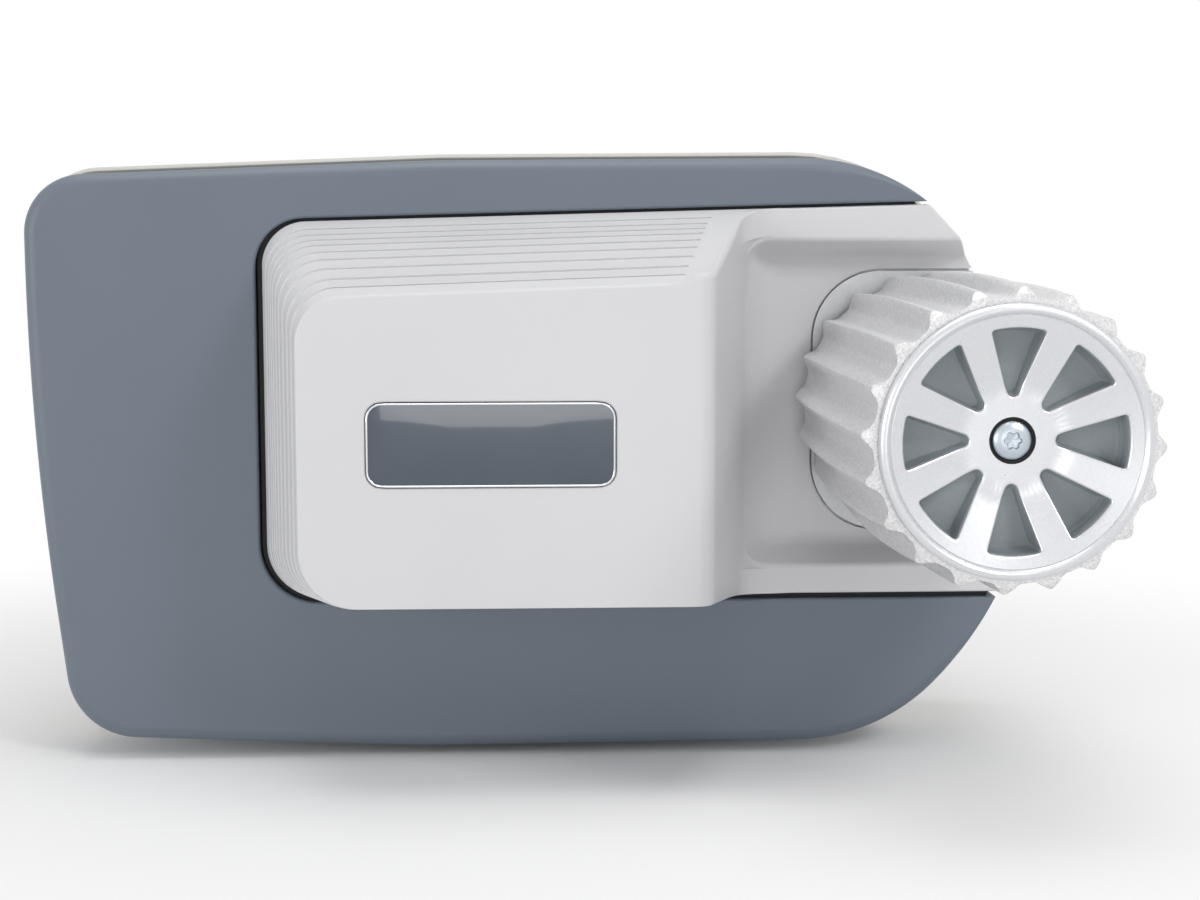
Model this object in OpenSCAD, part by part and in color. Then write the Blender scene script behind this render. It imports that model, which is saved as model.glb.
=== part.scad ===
// Caravan motor mover, one unit: a drive unit with a ribbed roller slides out of a
// housing on two rods until the roller presses on the tyre, then turns the wheel.
// Millimetres. X points to the tyre, Y inboard to the chassis rail, Z up.
// The origin is the middle of the chassis bolts on the mounting face.

/* [Housing] */
// Width of the front cover, left side to the tip of the rounded end
housing_w = 409; // [404:1:420]
// Height of the front cover
housing_h = 243; // [240:1:250]
// Mounting face to the flat front of the front cover
housing_d = 100; // [98:1:106]
// Wall of the moulded covers
wall = 3; // [2.4:0.1:3.4]
// How far the rear shell stands out round the front cover
shell_lip = 3.5; // [2:0.5:4.5]
// Gap between the front cover's slot and the drive unit
slot_gap = 2.2; // [1.8:0.1:3]
// Depth of the front cover's side walls
cover_side = 39; // [36:1:41]
// Thickness of the rubber gasket between cover and shell
gasket_t = 2; // [1.5:0.5:2.5]
// Thickness of the chassis plate
mount_t = 8; // [6:1:10]
// Thickness of the inner base plate
base_t = 8; // [6:1:9]

/* [Chassis fixing] */
// Distance of the chassis bolts along X
bolt_x = 180; // [160:5:190]
// Distance of the chassis bolts along Z
bolt_z = 100; // [90:5:110]
// Hole for a chassis bolt
bolt_hole_d = 13; // [10.5:0.5:13.5]
// Diameter of the spigot for the cross bar
spigot_d = 38; // [32:1:42]
// Length of the spigot
spigot_len = 60; // [40:5:80]

/* [Drive unit] */
// Travel of the drive unit to the tyre
travel = 45; // [30:1:46]
// How far the nose of the drive cover stands out in front of the front cover
nose_d = 67; // [62:1:72]
// Terraces on the shoulder of the nose
terraces = 8; // [6:1:10]
// Slope of the shoulder at its top, over the whole nose
shoulder_top = 28; // [20:1:32]
// Slope of the shoulder at its left side, over the whole nose
shoulder_left = 19; // [12:1:22]
// Depth of the recess floor behind the front of the rails
recess_d = 16; // [14:1:17]
// Height of the rails over and under the recess
rail_h = 13; // [10:1:14]
// Height of the gearbox face in the recess
face_h = 110; // [104:1:112]
// Corner radius of the gearbox face
face_r = 29; // [20:1:34]
// Diameter of the guide rods
rod_d = 16; // [12:1:16]
// Diameter of the engagement spindle
spindle_d = 12; // [8:1:12]

/* [Roller] */
// Diameter over the ridges at the middle of the roller
roller_d = 111; // [106:1:112]
// How much smaller the roller is at its ends
crown = 5; // [2:0.5:6]
// Depth of the valleys between the ridges
ridge_h = 6.5; // [4:0.25:7]
// Ridges on the roller
ridges = 20; // [16:1:24]
// Length of the roller
roller_len = 160; // [155:1:170]
// Windows in the end cap
cap_windows = 8; // [5:1:9]
// Diameter of the end cap
cap_d = 95; // [92:1:95]
// Diameter of the roller shaft in its bearings
shaft_d = 25; // [22:1:26]
// Outside diameter of the roller bearings
bearing_d = 52; // [47:1:52]
// Width of the roller bearings
bearing_w = 15; // [12:1:16]

/* [Gear train] */
// Teeth of the pinions
pinion_teeth = 12; // [12:1:13]
// Teeth of the first wheel
first_teeth = 52; // [46:1:54]
// Teeth of the second wheel
second_teeth = 48; // [44:1:49]
// Teeth of the output wheel
output_teeth = 32; // [28:1:32]
// Module of the first stage
first_mod = 1.5; // [1.4:0.05:1.55]
// Module of the second stage
second_mod = 1.75; // [1.6:0.05:1.75]
// Module of the output stage
output_mod = 2; // [1.8:0.05:2]
// Diameter of the motor
motor_d = 76; // [64:1:78]
// Length of the motor
motor_len = 78; // [70:1:79]

/* [Hidden] */
$fn = 64;

// radial play of a turning or sliding fit, air round a drilled hole, free gap of moving pieces
run = 0.04;
air = 0.2;
free = 1;

// planes along Y, from the mounting face to the front
y_shell = -mount_t;
y_base = y_shell - wall;
y_base_front = y_base - base_t;
y_front = -housing_d;
y_cover_rear = y_front + cover_side;
y_shell_front = y_cover_rear + gasket_t;
y_floor = y_front + recess_d;
y_nose = y_front - nose_d;
cover_floor = 4;
y_cast = y_floor + cover_floor;
cast_front = 6;
y_tray = y_cast + cast_front;
layer = [[1, 14], [15.5, 27], [28.5, 37]];
y_lid = y_tray + 40;
lid_t = 4;
lid_boss = 6;
y_rim = y_front + 29;
y_rod = y_floor + 30;

// heights inside follow the housing's height
high = housing_h / 243;
rod_off = 72 * high;

// the roller axis, and the gear axes to its left
axis_x = housing_w / 2 - 42.5;
axis_z = 21 * high;
second_x = axis_x - output_mod * (pinion_teeth + output_teeth) / 2;
first_x = second_x - second_mod * (pinion_teeth + second_teeth) / 2;
motor_x = first_x - first_mod * (pinion_teeth + first_teeth) / 2;
function axis(x) = [x, axis_z];

// outline of the housing: corners [x, z, radius], the right end is close to half an ellipse
half_w = housing_w / 2;
half_h = housing_h / 2;
// the long bend of the left side ends just below the round corner above it
belly_z = 10;
belly_turn = atan2(15, half_h - 5.5 + belly_z);
belly_r = (half_h - 47.4) / tan(belly_turn / 2);
housing_corners = [
    [-half_w, half_h - 8, 24], [-half_w, belly_z, belly_r], [6 - half_w + 9, 5.5 - half_h, 29],
    [-50, -half_h - 0.5, 600], [half_w - 54, -half_h + 0.3, 80], [half_w, -50.2 * high, 136],
    [half_w, 50.2 * high, 136], [half_w - 54, half_h, 80], [-40, half_h - 1.4, 600]
];

// outline of the drive unit; it runs on past the right end and is trimmed there
drive_left = 95.5 - half_w;
drive_top = axis_z + 74 * high;
drive_rise = 7.5;
drive_foot = axis_z - 79 * high;
recess_top = axis_z + 79 * high;
far = housing_w;
function drive_corners(top = 0, left = 0, foot = 0) = [
    [drive_left + left, drive_top - top, 18], [drive_left + left, drive_foot + foot, 22],
    [far, drive_foot + foot, 1],
    [far, drive_top - top + drive_rise * (far - drive_left) / (axis_x - drive_left), 1]
];

// outline of the gearbox tray, and of its face that shows in the recess
tray_half = 57 * high;
tray_left = motor_x - 49;
tray_corners = [
    [tray_left, axis_z + tray_half, 30], [tray_left, axis_z - tray_half, 30],
    [far, axis_z - tray_half, 1], [far, axis_z + tray_half, 1]
];
face_left = axis_x - 46;
face_corners = [
    [face_left, axis_z + face_h / 2, face_r], [face_left, axis_z - face_h / 2, face_r],
    [far, axis_z - face_h / 2, 1], [far, axis_z + face_h / 2, 1]
];
face_gap = 1;

// points of a convex outline with round corners; inset moves every side inwards
function unit(v) = v / norm(v);
function left_of(v) = [-v[1], v[0]];
function flat(c) = [c[0], c[1]];
function rounded(c, inset = 0) = let (n = len(c)) [
    for (i = [0 : n - 1]) let (
        a = flat(c[(i + n - 1) % n]), b = flat(c[i]), e = flat(c[(i + 1) % n]),
        u = unit(b - a), w = unit(e - b), nu = left_of(u), nw = left_of(w),
        r = max(c[i][2] - inset, 0.6), m = (nu + nw) / (1 + nu * nw),
        p = b + (inset + r) * m, start = atan2(-nu[1], -nu[0]),
        turn = atan2(u[0] * w[1] - u[1] * w[0], u * w), steps = max(2, ceil(turn / 7))
    ) for (j = [0 : steps]) p + r * [cos(start + turn * j / steps), sin(start + turn * j / steps)]
];

// a prism of an XZ outline, rods along X and Y, a box, and a turned piece on a Y axis
module slab(y0, y1, pts) translate([0, y1, 0]) rotate([90, 0, 0]) linear_extrude(y1 - y0) polygon(pts);
module rod_y(y0, y1, r, p) translate([p[0], y1, p[1]]) rotate([90, 0, 0]) cylinder(h = y1 - y0, r = r);
module rod_x(x0, x1, r, z) translate([x0, y_rod, z]) rotate([0, 90, 0]) cylinder(h = x1 - x0, r = r);
module block(x, y, z) translate([x[0], y[0], z[0]]) cube([x[1] - x[0], y[1] - y[0], z[1] - z[0]]);
module turned(p, prof) translate([p[0], 0, p[1]]) rotate([90, 0, 0])
    rotate_extrude($fn = 96) polygon([for (q = prof) [q[0], -q[1]]]);
module ring_y(y0, y1, r0, r1, p) difference() {
    rod_y(y0, y1, r1, p);
    rod_y(y0 - 1, y1 + 1, r0, p);
}
module ring_x(x0, x1, r0, r1, z) difference() {
    rod_x(x0, x1, r1, z);
    rod_x(x0 - 1, x1 + 1, r0, z);
}
module hexagon_y(y0, y1, across, p) translate([p[0], y1, p[1]]) rotate([90, 0, 0])
    cylinder(h = y1 - y0, r = across / sqrt(3), $fn = 6);
// a prism of the drive unit, trimmed to the housing's rounded end
module unit_slab(y0, y1, corners, inset, end_inset) intersection() {
    slab(y0, y1, rounded(corners, inset));
    slab(y0 - 1, y1 + 1, rounded(housing_corners, end_inset));
}

// screw places of the front cover, tied to the sides of the housing
case_spots = [
    [-85, half_h - 10], [half_w - 86, half_h - 8.5], [8.5 - half_w, 70 * high], [15.5 - half_w, -60 * high],
    [-62, 8.5 - half_h], [half_w - 94, 8.5 - half_h]
];
case_post = 4.5;
case_screw = 1.9;

module front_cover() color("#5f6976") difference() {
    union() {
        difference() {
            union() {
                slab(y_front, y_front + 1.2, rounded(housing_corners, 3));
                slab(y_front + 1.2, y_front + 3.2, rounded(housing_corners, 1.2));
                slab(y_front + 3.2, y_cover_rear, rounded(housing_corners));
            }
            slab(y_front + wall, y_cover_rear + 1, rounded(housing_corners, wall));
        }
        // skirt round the slot, and posts for the screws
        intersection() {
            slab(y_front + 1, y_shield, rounded(drive_corners(), -slot_gap - skirt_t));
            slab(y_front, y_shield, rounded(housing_corners, wall / 2));
        }
        intersection() {
            for (p = case_spots) rod_y(y_front + wall / 2, y_cover_rear, case_post, p);
            slab(y_front, y_cover_rear, rounded(housing_corners, wall / 2));
        }
    }
    slab(y_front - 1, y_cover_rear + 1, rounded(drive_corners(), -slot_gap));
    for (p = case_spots) rod_y(y_cover_rear - 15, y_cover_rear + 1, case_screw, p);
}

skirt_t = 2.5;
shield_t = 2.5;
y_shield = y_rim + 2;
module slot_shield() color("#1d1e20") difference() {
    intersection() {
        slab(y_shield, y_shield + shield_t, rounded(drive_corners(), -slot_gap - skirt_t));
        block([drive_left - 20, min(drive_left + 49, tray_left - free)], [y_shield - 1, y_shield + 9],
            [-half_h, half_h]);
    }
    for (p = case_spots) rod_y(y_shield - 1, y_shield + 9, case_post + free, p);
}

// rubber lip on the skirt, just clear of the drive cover
module slot_seal() color("#141414") difference() {
    intersection() {
        slab(y_front + 3, y_front + 10, rounded(drive_corners(), -slot_gap));
        slab(y_front, y_front + 20, rounded(housing_corners, wall));
    }
    slab(y_front, y_front + 20, rounded(drive_corners(), -0.3));
}

// rear shell with a mouth on the right for the gearbox
mouth = tray_half + 3;
module rear_shell() color("#c9c8c2") difference() {
    union() {
        difference() {
            slab(y_shell_front, y_shell, rounded(housing_corners, -shell_lip));
            slab(y_shell_front - 1, y_base, rounded(housing_corners, wall - shell_lip));
        }
        intersection() {
            for (p = case_spots) rod_y(y_shell_front, y_shell, case_post, p);
            slab(y_shell_front, y_shell, rounded(housing_corners, -shell_lip + wall / 2));
        }
    }
    block([half_w - 60, half_w + 20], [y_shell_front - 1, y_lid + lid_t + lid_boss + 3],
        [axis_z - mouth, axis_z + mouth]);
    for (p = case_spots) {
        rod_y(y_shell_front - 1, y_shell + 1, case_screw + air, p);
        rod_y(y_shell - 2.2, y_shell + 1, 4.2, p);
    }
    bolt_holes(y_base - 1, y_shell + 1, bolt_hole_d / 2);
    for (p = plate_spots) rod_y(y_base - 1, y_shell + 1, 3 + air, p);
    for (p = gland_spots) rod_y(y_base - 1, y_shell + 1, gland_r, p);
}

module cover_gasket() color("#202124") difference() {
    slab(y_cover_rear, y_shell_front, rounded(housing_corners, 0.3));
    slab(y_cover_rear - 1, y_shell_front + 1, rounded(housing_corners, wall - 0.3));
    block([half_w - 60, half_w + 20], [y_cover_rear - 1, y_shell_front + 1],
        [drive_foot - slot_gap, drive_top + 12]);
}

module case_screws() color("#8d8f91") for (p = case_spots) {
    rod_y(y_cover_rear - 14, y_shell - 2.2, case_screw, p);
    difference() {
        rod_y(y_shell - 2.2, y_shell - 0.2, 4, p);
        hexagon_y(y_shell - 1.4, y_shell, 3, p);
    }
}

// chassis plate, bolts and base plate
module bolt_holes(y0, y1, r) for (x = [-1, 1], z = [-1, 1])
    rod_y(y0, y1, r, [x * bolt_x / 2, z * bolt_z / 2]);
plate_spots = [for (x = [-1, 1], z = [-1, 1]) [x * 45, z * 58]];
plate_corners = [for (c = [[-1, 1], [-1, -1], [1, -1], [1, 1]])
    [c[0] * (bolt_x / 2 + 28), c[1] * (bolt_z / 2 + 25), 16]];
module mount_plate() color("#3a3d40") difference() {
    slab(y_shell, 0, rounded(plate_corners));
    bolt_holes(y_shell - 1, 1, bolt_hole_d / 2);
    for (p = plate_spots) {
        rod_y(y_shell - 1, 1, 3 + air, p);
        rod_y(-3.5, 1, 6, p);
    }
}

module plate_screws() color("#8d8f91") for (p = plate_spots) {
    rod_y(y_base_front, -3.5, 3, p);
    difference() {
        rod_y(-3.5, -0.3, 5.6, p);
        hexagon_y(-2.3, 0, 5, p);
    }
}

post_t = 12;
post_w = 24;
nut_across = bolt_hole_d + 6;
// the left posts stand clear of the drive unit and of the chassis nuts
post_left = min(drive_left - 8, -bolt_x / 2 - nut_across / sqrt(3) - post_t - free);
post_right = axis_x - 36;
rod_top = axis_z + rod_off;
rod_low = axis_z - rod_off;
rod_r = rod_d / 2;
module base_plate() color("#9a9da0") difference() {
    union() {
        intersection() {
            slab(y_base_front, y_base, rounded(housing_corners, 8));
            block([post_left - 8, half_w], [y_base_front - 1, y_base + 1], [-half_h, half_h]);
        }
        for (x = [post_left, post_right], z = [rod_top, rod_low])
            block([x, x + post_t], [y_rod - 11.5, y_base_front + 1], [z - post_w / 2, z + post_w / 2]);
    }
    for (z = [rod_top, rod_low]) rod_x(post_left - 1, post_right + post_t + 1, rod_r, z);
    bolt_holes(y_base_front - 1, y_base + 1, bolt_hole_d / 2);
    for (p = plate_spots) rod_y(y_base_front - 1, y_base + 1, 3, p);
    for (p = case_spots) rod_y(y_base_front - 1, y_base + 1, case_post + free, p);
}

module captive_nuts() color("#8d8f91") for (x = [-1, 1], z = [-1, 1])
    let (p = [x * bolt_x / 2, z * bolt_z / 2]) difference() {
        hexagon_y(y_base_front - 7, y_base_front, nut_across, p);
        rod_y(y_base_front - 8, y_base_front + 1, bolt_hole_d / 2 - 1.2, p);
    }

spigot_at = [0, -38];
module crossbar_spigot() color("#3a3d40") difference() {
    rod_y(0, spigot_len, spigot_d / 2, spigot_at);
    rod_y(2, spigot_len + 1, spigot_d / 2 - 5, spigot_at);
}

// guide rods with a clip outside each post
clip_t = 1.5;
rod_over = 4;
module guide_rod(z) color("#d4d6d8") difference() {
    rod_x(post_left - rod_over, post_right + post_t + rod_over, rod_r, z);
    for (x = [post_left - clip_t, post_right + post_t]) ring_x(x, x + clip_t, rod_r - 1, rod_r + 1, z);
}
module guide_rod_upper() guide_rod(rod_top);
module guide_rod_lower() guide_rod(rod_low);
module rod_clips() color("#3c3d3f")
    for (x = [post_left - clip_t, post_right + post_t], z = [rod_top, rod_low])
        ring_x(x, x + clip_t, rod_r - 1, rod_r + 3, z);

// lugs of the gearbox on the rods; the left low one has an arm with the spindle's nut
lug_w = 25;
lug_left = drive_left + 54;
lug_right = axis_x - 112;
lug_r = 14;
arm_h = 12;

// engagement drive: motor, gearhead, bracket, spindle, coupling and end block
spindle_z = axis_z - 110 * high;
spindle_r = spindle_d / 2;
bracket_x = drive_left + 15;
bracket_t = 5;
gearhead_len = 30;
engage_r = 18;
module engage_motor() color("#b4b6b8") difference() {
    rod_x(bracket_x - gearhead_len - 46, bracket_x - gearhead_len, engage_r, spindle_z);
    rod_x(bracket_x - gearhead_len - 47, bracket_x - gearhead_len - 43, 8, spindle_z);
}
module engage_gearhead() color("#7d8084") difference() {
    rod_x(bracket_x - gearhead_len, bracket_x, engage_r + 1, spindle_z);
    rod_x(bracket_x - 12, bracket_x + 1, 4 + run, spindle_z);
}
module engage_bracket() color("#9a9da0") difference() {
    block([bracket_x, bracket_x + bracket_t], [y_rod - 20, y_base_front], [spindle_z - 20, spindle_z + 20]);
    rod_x(bracket_x - 1, bracket_x + bracket_t + 1, 10, spindle_z);
}
block_x = lug_left + lug_w + travel + 8;
module screw_block() color("#9a9da0") difference() {
    block([block_x, block_x + 12], [y_rod - 12, y_base_front], [spindle_z - 13, spindle_z + 13]);
    rod_x(block_x - 1, block_x + 13, spindle_r - 1 + run, spindle_z);
}
module lead_screw() color("#c3c5c7") {
    rod_x(bracket_x - 10, bracket_x + 8, 4, spindle_z);
    rod_x(bracket_x + 8, block_x - 0.5, spindle_r, spindle_z);
    rod_x(block_x - 0.5, block_x + 11.5, spindle_r - 1, spindle_z);
}
module screw_coupling() color("#55585c") difference() {
    rod_x(bracket_x + bracket_t + 0.5, bracket_x + 22, spindle_r + 3, spindle_z);
    rod_x(bracket_x, bracket_x + 8, 4, spindle_z);
    rod_x(bracket_x + 8, bracket_x + 23, spindle_r, spindle_z);
}

// cable glands, terminal block and limit switches
gland_r = 8;
gland_spots = [for (z = [16, 52]) [34 - half_w, z]];
module cable_glands() color("#26282b") for (p = gland_spots) difference() {
    union() {
        rod_y(y_base - 6, y_shell, gland_r, p);
        hexagon_y(y_base - 5, y_base, 22, p);
        hexagon_y(y_shell, y_shell + 5, 22, p);
        turned(p, [[0, y_shell + 4], [9, y_shell + 4], [9, y_shell + 16], [6.5, y_shell + 20],
            [0, y_shell + 20]]);
    }
    rod_y(y_base - 7, y_shell + 21, 4, p);
}
module terminal_block() color("#2f3236") difference() {
    block([22 - half_w, 48 - half_w], [y_base - 16, y_base], [-38, -4]);
    for (i = [0 : 2]) rod_y(y_base - 17, y_base - 8, 3, [35 - half_w, -32 + 11 * i]);
}
module limit_switches() color("#1b1c1e") for (x = [lug_left - 8, lug_left + lug_w + travel - 6])
    union() {
        block([x, x + 14], [y_rod + arm_h + 5, y_base_front], [spindle_z + 6, spindle_z + 14]);
        block([x + 5, x + 9], [y_rod + arm_h + 1, y_rod + arm_h + 6], [spindle_z + 8, spindle_z + 12]);
    }

// drive cover: base behind the front cover's front, terraced nose, sloped wall and recess with rails
nose_right = axis_x - 95;
wall_foot = axis_x - 71;
function wall_x(y) = nose_right + (wall_foot - nose_right) * (y - y_nose) / (y_floor - y_nose);
step_d = nose_d / terraces;
last_step = 2;
function level(k) = drive_corners(
    shoulder_top * (k < terraces ? k : k - 1 + last_step) / (terraces - 1 + last_step),
    shoulder_left * k / terraces, 9 * k / terraces);
module prism_z(pts) translate([0, 0, -half_h]) linear_extrude(housing_h) polygon(pts);
module recess(t) {
    prism_z([[wall_x(y_nose - 9) - t, y_nose - 9], [wall_x(y_front) - t, y_front],
        [far + 9, y_front], [far + 9, y_nose - 9]]);
    intersection() {
        prism_z([[wall_x(y_front - 1) - t, y_front - 1], [wall_x(y_floor) - t, y_floor],
            [far + 9, y_floor], [far + 9, y_front - 1]]);
        block([0, far + 9], [y_front - 2, y_floor + 1], [drive_foot + rail_h, recess_top - rail_h]);
    }
}
badge = [94, 32];
badge_at = [(drive_left + shoulder_left + nose_right) / 2 - 5.5, axis_z - 9];
badge_t = 1.6;
badge_in = 1;
function badge_corners() = [for (c = [[-1, 1], [-1, -1], [1, -1], [1, 1]])
    [badge_at[0] + c[0] * badge[0] / 2, badge_at[1] + c[1] * badge[1] / 2, 6]];
cover_spots = [for (x = [axis_x - 58, axis_x - 14], z = [-1, 1]) [x, axis_z + z * (rod_off - 0.5)]];
module drive_cover() color("#dededf") difference() {
    union() {
        unit_slab(y_front, y_rim, drive_corners(), 0, 0.4);
        for (k = [1 : terraces]) slab(y_front - k * step_d, y_front - (k - 1) * step_d, rounded(level(k)));
    }
    recess(0);
    // hollow: shallow behind the recess, deep in the nose
    unit_slab(y_cast, y_rim + 1, drive_corners(), wall, wall + 0.4);
    slab(y_cast, y_rim + 1, rounded(tray_corners, -free));
    difference() {
        union() {
            slab(y_front - 1, y_cast + 1, rounded(level(1), wall));
            for (k = [1 : terraces]) slab(k < terraces ? y_front - k * step_d : y_nose + wall,
                y_front - (k - 1) * step_d + 0.5, rounded(level(min(k + 1, terraces)), wall));
        }
        prism_z([[wall_x(y_nose - 9) - wall, y_nose - 9], [wall_x(y_cast + 2) - wall, y_cast + 2],
            [far + 9, y_cast + 2], [far + 9, y_nose - 9]]);
    }
    slab(y_floor - 1, y_cast + 1, rounded(face_corners));
    slab(y_nose - 1, y_nose + badge_in, rounded(badge_corners(), -0.2));
    for (p = cover_spots) rod_y(y_cast - 12, y_cast + 1, 2, p);
}

module badge_plate() color("#46586a")
    slab(y_nose + badge_in - badge_t, y_nose + badge_in, rounded(badge_corners()));

// gearbox casting: tray, face in the recess, bearing tube inside the roller, lugs on the rods
bush_r = rod_r + 2.5;
nut_r = spindle_r + 5;
tube_r = bearing_d / 2 + 5;
y_tube = y_floor - 87;
lid_spots = [for (x = [motor_x - 14, first_x - 26, second_x - 26, axis_x - 16], z = [-1, 1])
    [x, axis_z + z * (tray_half - 8.5)]];
motor_spots = [for (a = [90, 210, 330]) axis(motor_x) + 28 * [cos(a), sin(a)]];
module gearbox_casting() color("#c6c8ca") difference() {
    union() {
        difference() {
            unit_slab(y_cast, y_lid, tray_corners, 0, 1);
            unit_slab(y_tray, y_lid + 1, tray_corners, 4, 5);
        }
        unit_slab(y_floor, y_cast + 1, face_corners, face_gap, 1);
        rod_y(y_tube, y_cast + 1, tube_r, axis(axis_x));
        rod_y(y_tray - 1, y_tray + layer[0][1] - 2, 12, axis(first_x));
        rod_y(y_tray - 1, y_tray + layer[1][1] - 1, 12, axis(motor_x));
        for (p = lid_spots) rod_y(y_tray - 1, y_lid, 5, p);
        for (x = [lug_left, lug_right], s = [-1, 1]) {
            rod_x(x, x + lug_w, lug_r, axis_z + s * rod_off);
            block([x, max(x + lug_w, tray_left + 36)], [y_rod - 10, y_rod + 10],
                [axis_z + (s > 0 ? tray_half - 3 : -rod_off), axis_z + (s > 0 ? rod_off : 3 - tray_half)]);
        }
        block([lug_left, lug_left + lug_w], [y_rod - arm_h, y_rod + arm_h], [spindle_z - nut_r - 4, rod_low]);
        for (p = cover_spots) block([p[0] - 6, p[0] + 6], [y_cast, y_cast + 5],
            [min(p[1], axis_z) - 4, max(p[1], axis_z) + 4]);
    }
    difference() {
        unit_slab(y_tray, y_lid + 1, tray_corners, 4, 5);
        rod_y(y_tray - 1, y_tray + layer[0][1] - 2, 12, axis(first_x));
        rod_y(y_tray - 1, y_tray + layer[1][1] - 1, 12, axis(motor_x));
        for (p = lid_spots) rod_y(y_tray - 1, y_lid + 1, 5, p);
    }
    for (z = [rod_top, rod_low]) rod_x(lug_left - 1, lug_right + lug_w + 1, bush_r, z);
    rod_x(lug_left - 1, lug_left + lug_w + 1, nut_r, spindle_z);
    // seats of the roller bearings and of the seal
    rod_y(y_tube - 1, y_tray + 1, bearing_d / 2 - 2.5, axis(axis_x));
    rod_y(y_bear[0], y_tray + 1, bearing_d / 2, axis(axis_x));
    rod_y(y_tube - 1, y_bear[1] + bearing_w, bearing_d / 2, axis(axis_x));
    // seats of the gear bushes
    rod_y(y_tray - 4.5, y_tray + 1, 9, axis(second_x));
    rod_y(y_cast - 1, y_lid, 6 + air, axis(motor_x));
    rod_y(y_tray + layer[1][1] - 13, y_lid, 9, axis(motor_x));
    rod_y(y_tray, y_lid, 9, axis(first_x));
    for (p = lid_spots) rod_y(y_lid - 14, y_lid + 1, 2.1, p);
    for (p = cover_spots) rod_y(y_cast - 1, y_cast + 6, 2 + air, p);
    for (p = motor_spots) rod_y(y_cast - 1, y_tray + 1, 2.5 + air, p);
}

y_bear = [y_tray - 3 - bearing_w, y_tube + 6];
module bearing_outer_rings() color("#b9bcc0") for (y = y_bear) difference() {
    rod_y(y, y + bearing_w, bearing_d / 2, axis(axis_x));
    rod_y(y - 1, y + bearing_w + 1, ring_mid + 2.5, axis(axis_x));
}
ring_mid = (bearing_d + shaft_d) / 4;
module bearing_inner_rings() color("#d0d3d6") for (y = y_bear) difference() {
    union() {
        rod_y(y, y + bearing_w, ring_mid - 2, axis(axis_x));
        for (i = [0 : 8]) translate([axis_x, y + bearing_w / 2, axis_z]) rotate([0, i * 40, 0])
            translate([ring_mid, 0, 0]) sphere(r = 2.5 - run);
    }
    rod_y(y - 1, y + bearing_w + 1, shaft_d / 2, axis(axis_x));
}
module shaft_seal() color("#1a1a1b")
    ring_y(y_tube + 0.5, y_bear[1] - 0.3, shaft_d / 2 + run, bearing_d / 2, axis(axis_x));

module shaft_bushes() color("#b08d57") {
    ring_y(y_tray - 4.5, y_tray, 6 + run, 9, axis(second_x));
    ring_y(y_tray, y_tray + layer[0][1] - 2, 6 + run, 9, axis(first_x));
    ring_y(y_tray + layer[1][1] - 13, y_tray + layer[1][1] - 1, 5 + run, 9, axis(motor_x));
    for (x = [motor_x, first_x, second_x])
        ring_y(y_lid, y_lid + lid_t + lid_boss - 2, (x == motor_x ? 5 : 6) + run, 8, axis(x));
}

module gearbox_lid() color("#b9bbbd") difference() {
    union() {
        unit_slab(y_lid, y_lid + lid_t, tray_corners, 0, 1);
        for (x = [motor_x, first_x, second_x]) rod_y(y_lid, y_lid + lid_t + lid_boss, 11, axis(x));
    }
    for (x = [motor_x, first_x, second_x]) rod_y(y_lid - 1, y_lid + lid_t + lid_boss - 2, 8, axis(x));
    for (p = lid_spots) rod_y(y_lid - 1, y_lid + lid_t + 1, 2.1 + air, p);
}
module screw_y(y0, y1, r, p) {
    rod_y(y0, y1, r, p);
    difference() {
        rod_y(y1, y1 + 1.6 * r, 1.9 * r, p);
        hexagon_y(y1 + 0.7 * r, y1 + 2 * r, 1.8 * r, p);
    }
}
module lid_screws() color("#8d8f91") for (p = lid_spots) screw_y(y_lid - 13, y_lid + lid_t, 2.1, p);
module cover_screws() color("#8d8f91") for (p = cover_spots) screw_y(y_cast - 11, y_cast + 5, 2, p);
module guide_bushes() color("#b08d57") for (x = [lug_left, lug_right], z = [rod_top, rod_low])
    ring_x(x, x + lug_w, rod_r + run, bush_r, z);
module drive_nut() color("#b08d57") difference() {
    union() {
        rod_x(lug_left, lug_left + lug_w, nut_r, spindle_z);
        rod_x(lug_left - 2.5, lug_left, nut_r + 3, spindle_z);
    }
    rod_x(lug_left - 4, lug_left + lug_w + 1, spindle_r + run, spindle_z);
}

// motor: can on the casting, end cap, magnets, brushes; armature and shaft turn
motor_r = motor_d / 2;
can_t = 3;
mag_t = 5.5;
y_can = y_cast - motor_len + 9;
core_r = motor_r - can_t - mag_t - free;
module motor_can() color("#55585c") difference() {
    rod_y(y_can, y_cast, motor_r, axis(motor_x));
    rod_y(y_can - 1, y_cast - can_t, motor_r - can_t, axis(motor_x));
    rod_y(y_can, y_cast + 1, 10, axis(motor_x));
    for (p = motor_spots) rod_y(y_cast - can_t - 1, y_cast + 1, 2.5, p);
}
module motor_end_cap() color("#2b2d30") difference() {
    union() {
        rod_y(y_can - 9, y_can, motor_r, axis(motor_x));
        rod_y(y_can - 1, y_can + 3, motor_r - can_t, axis(motor_x));
    }
    rod_y(y_can - 1, y_can + 4, motor_r - can_t - 4, axis(motor_x));
    rod_y(y_can - 7, y_can + 4, 5 + run, axis(motor_x));
}
module motor_magnets() color("#3b3c3e") intersection() {
    ring_y(y_can + 12, y_cast - can_t - 8, motor_r - can_t - mag_t, motor_r - can_t, axis(motor_x));
    union() for (s = [-1, 1]) block([motor_x - motor_r, motor_x + motor_r], [y_can, y_cast],
        s > 0 ? [axis_z + 10, axis_z + motor_r] : [axis_z - motor_r, axis_z - 10]);
}
module motor_brushes() color("#6d5a3a") for (s = [-1, 1])
    block(s > 0 ? [motor_x + 13.5, motor_x + 24] : [motor_x - 24, motor_x - 13.5], [y_can - 1, y_can + 9],
        [axis_z - 4, axis_z + 4]);
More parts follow.
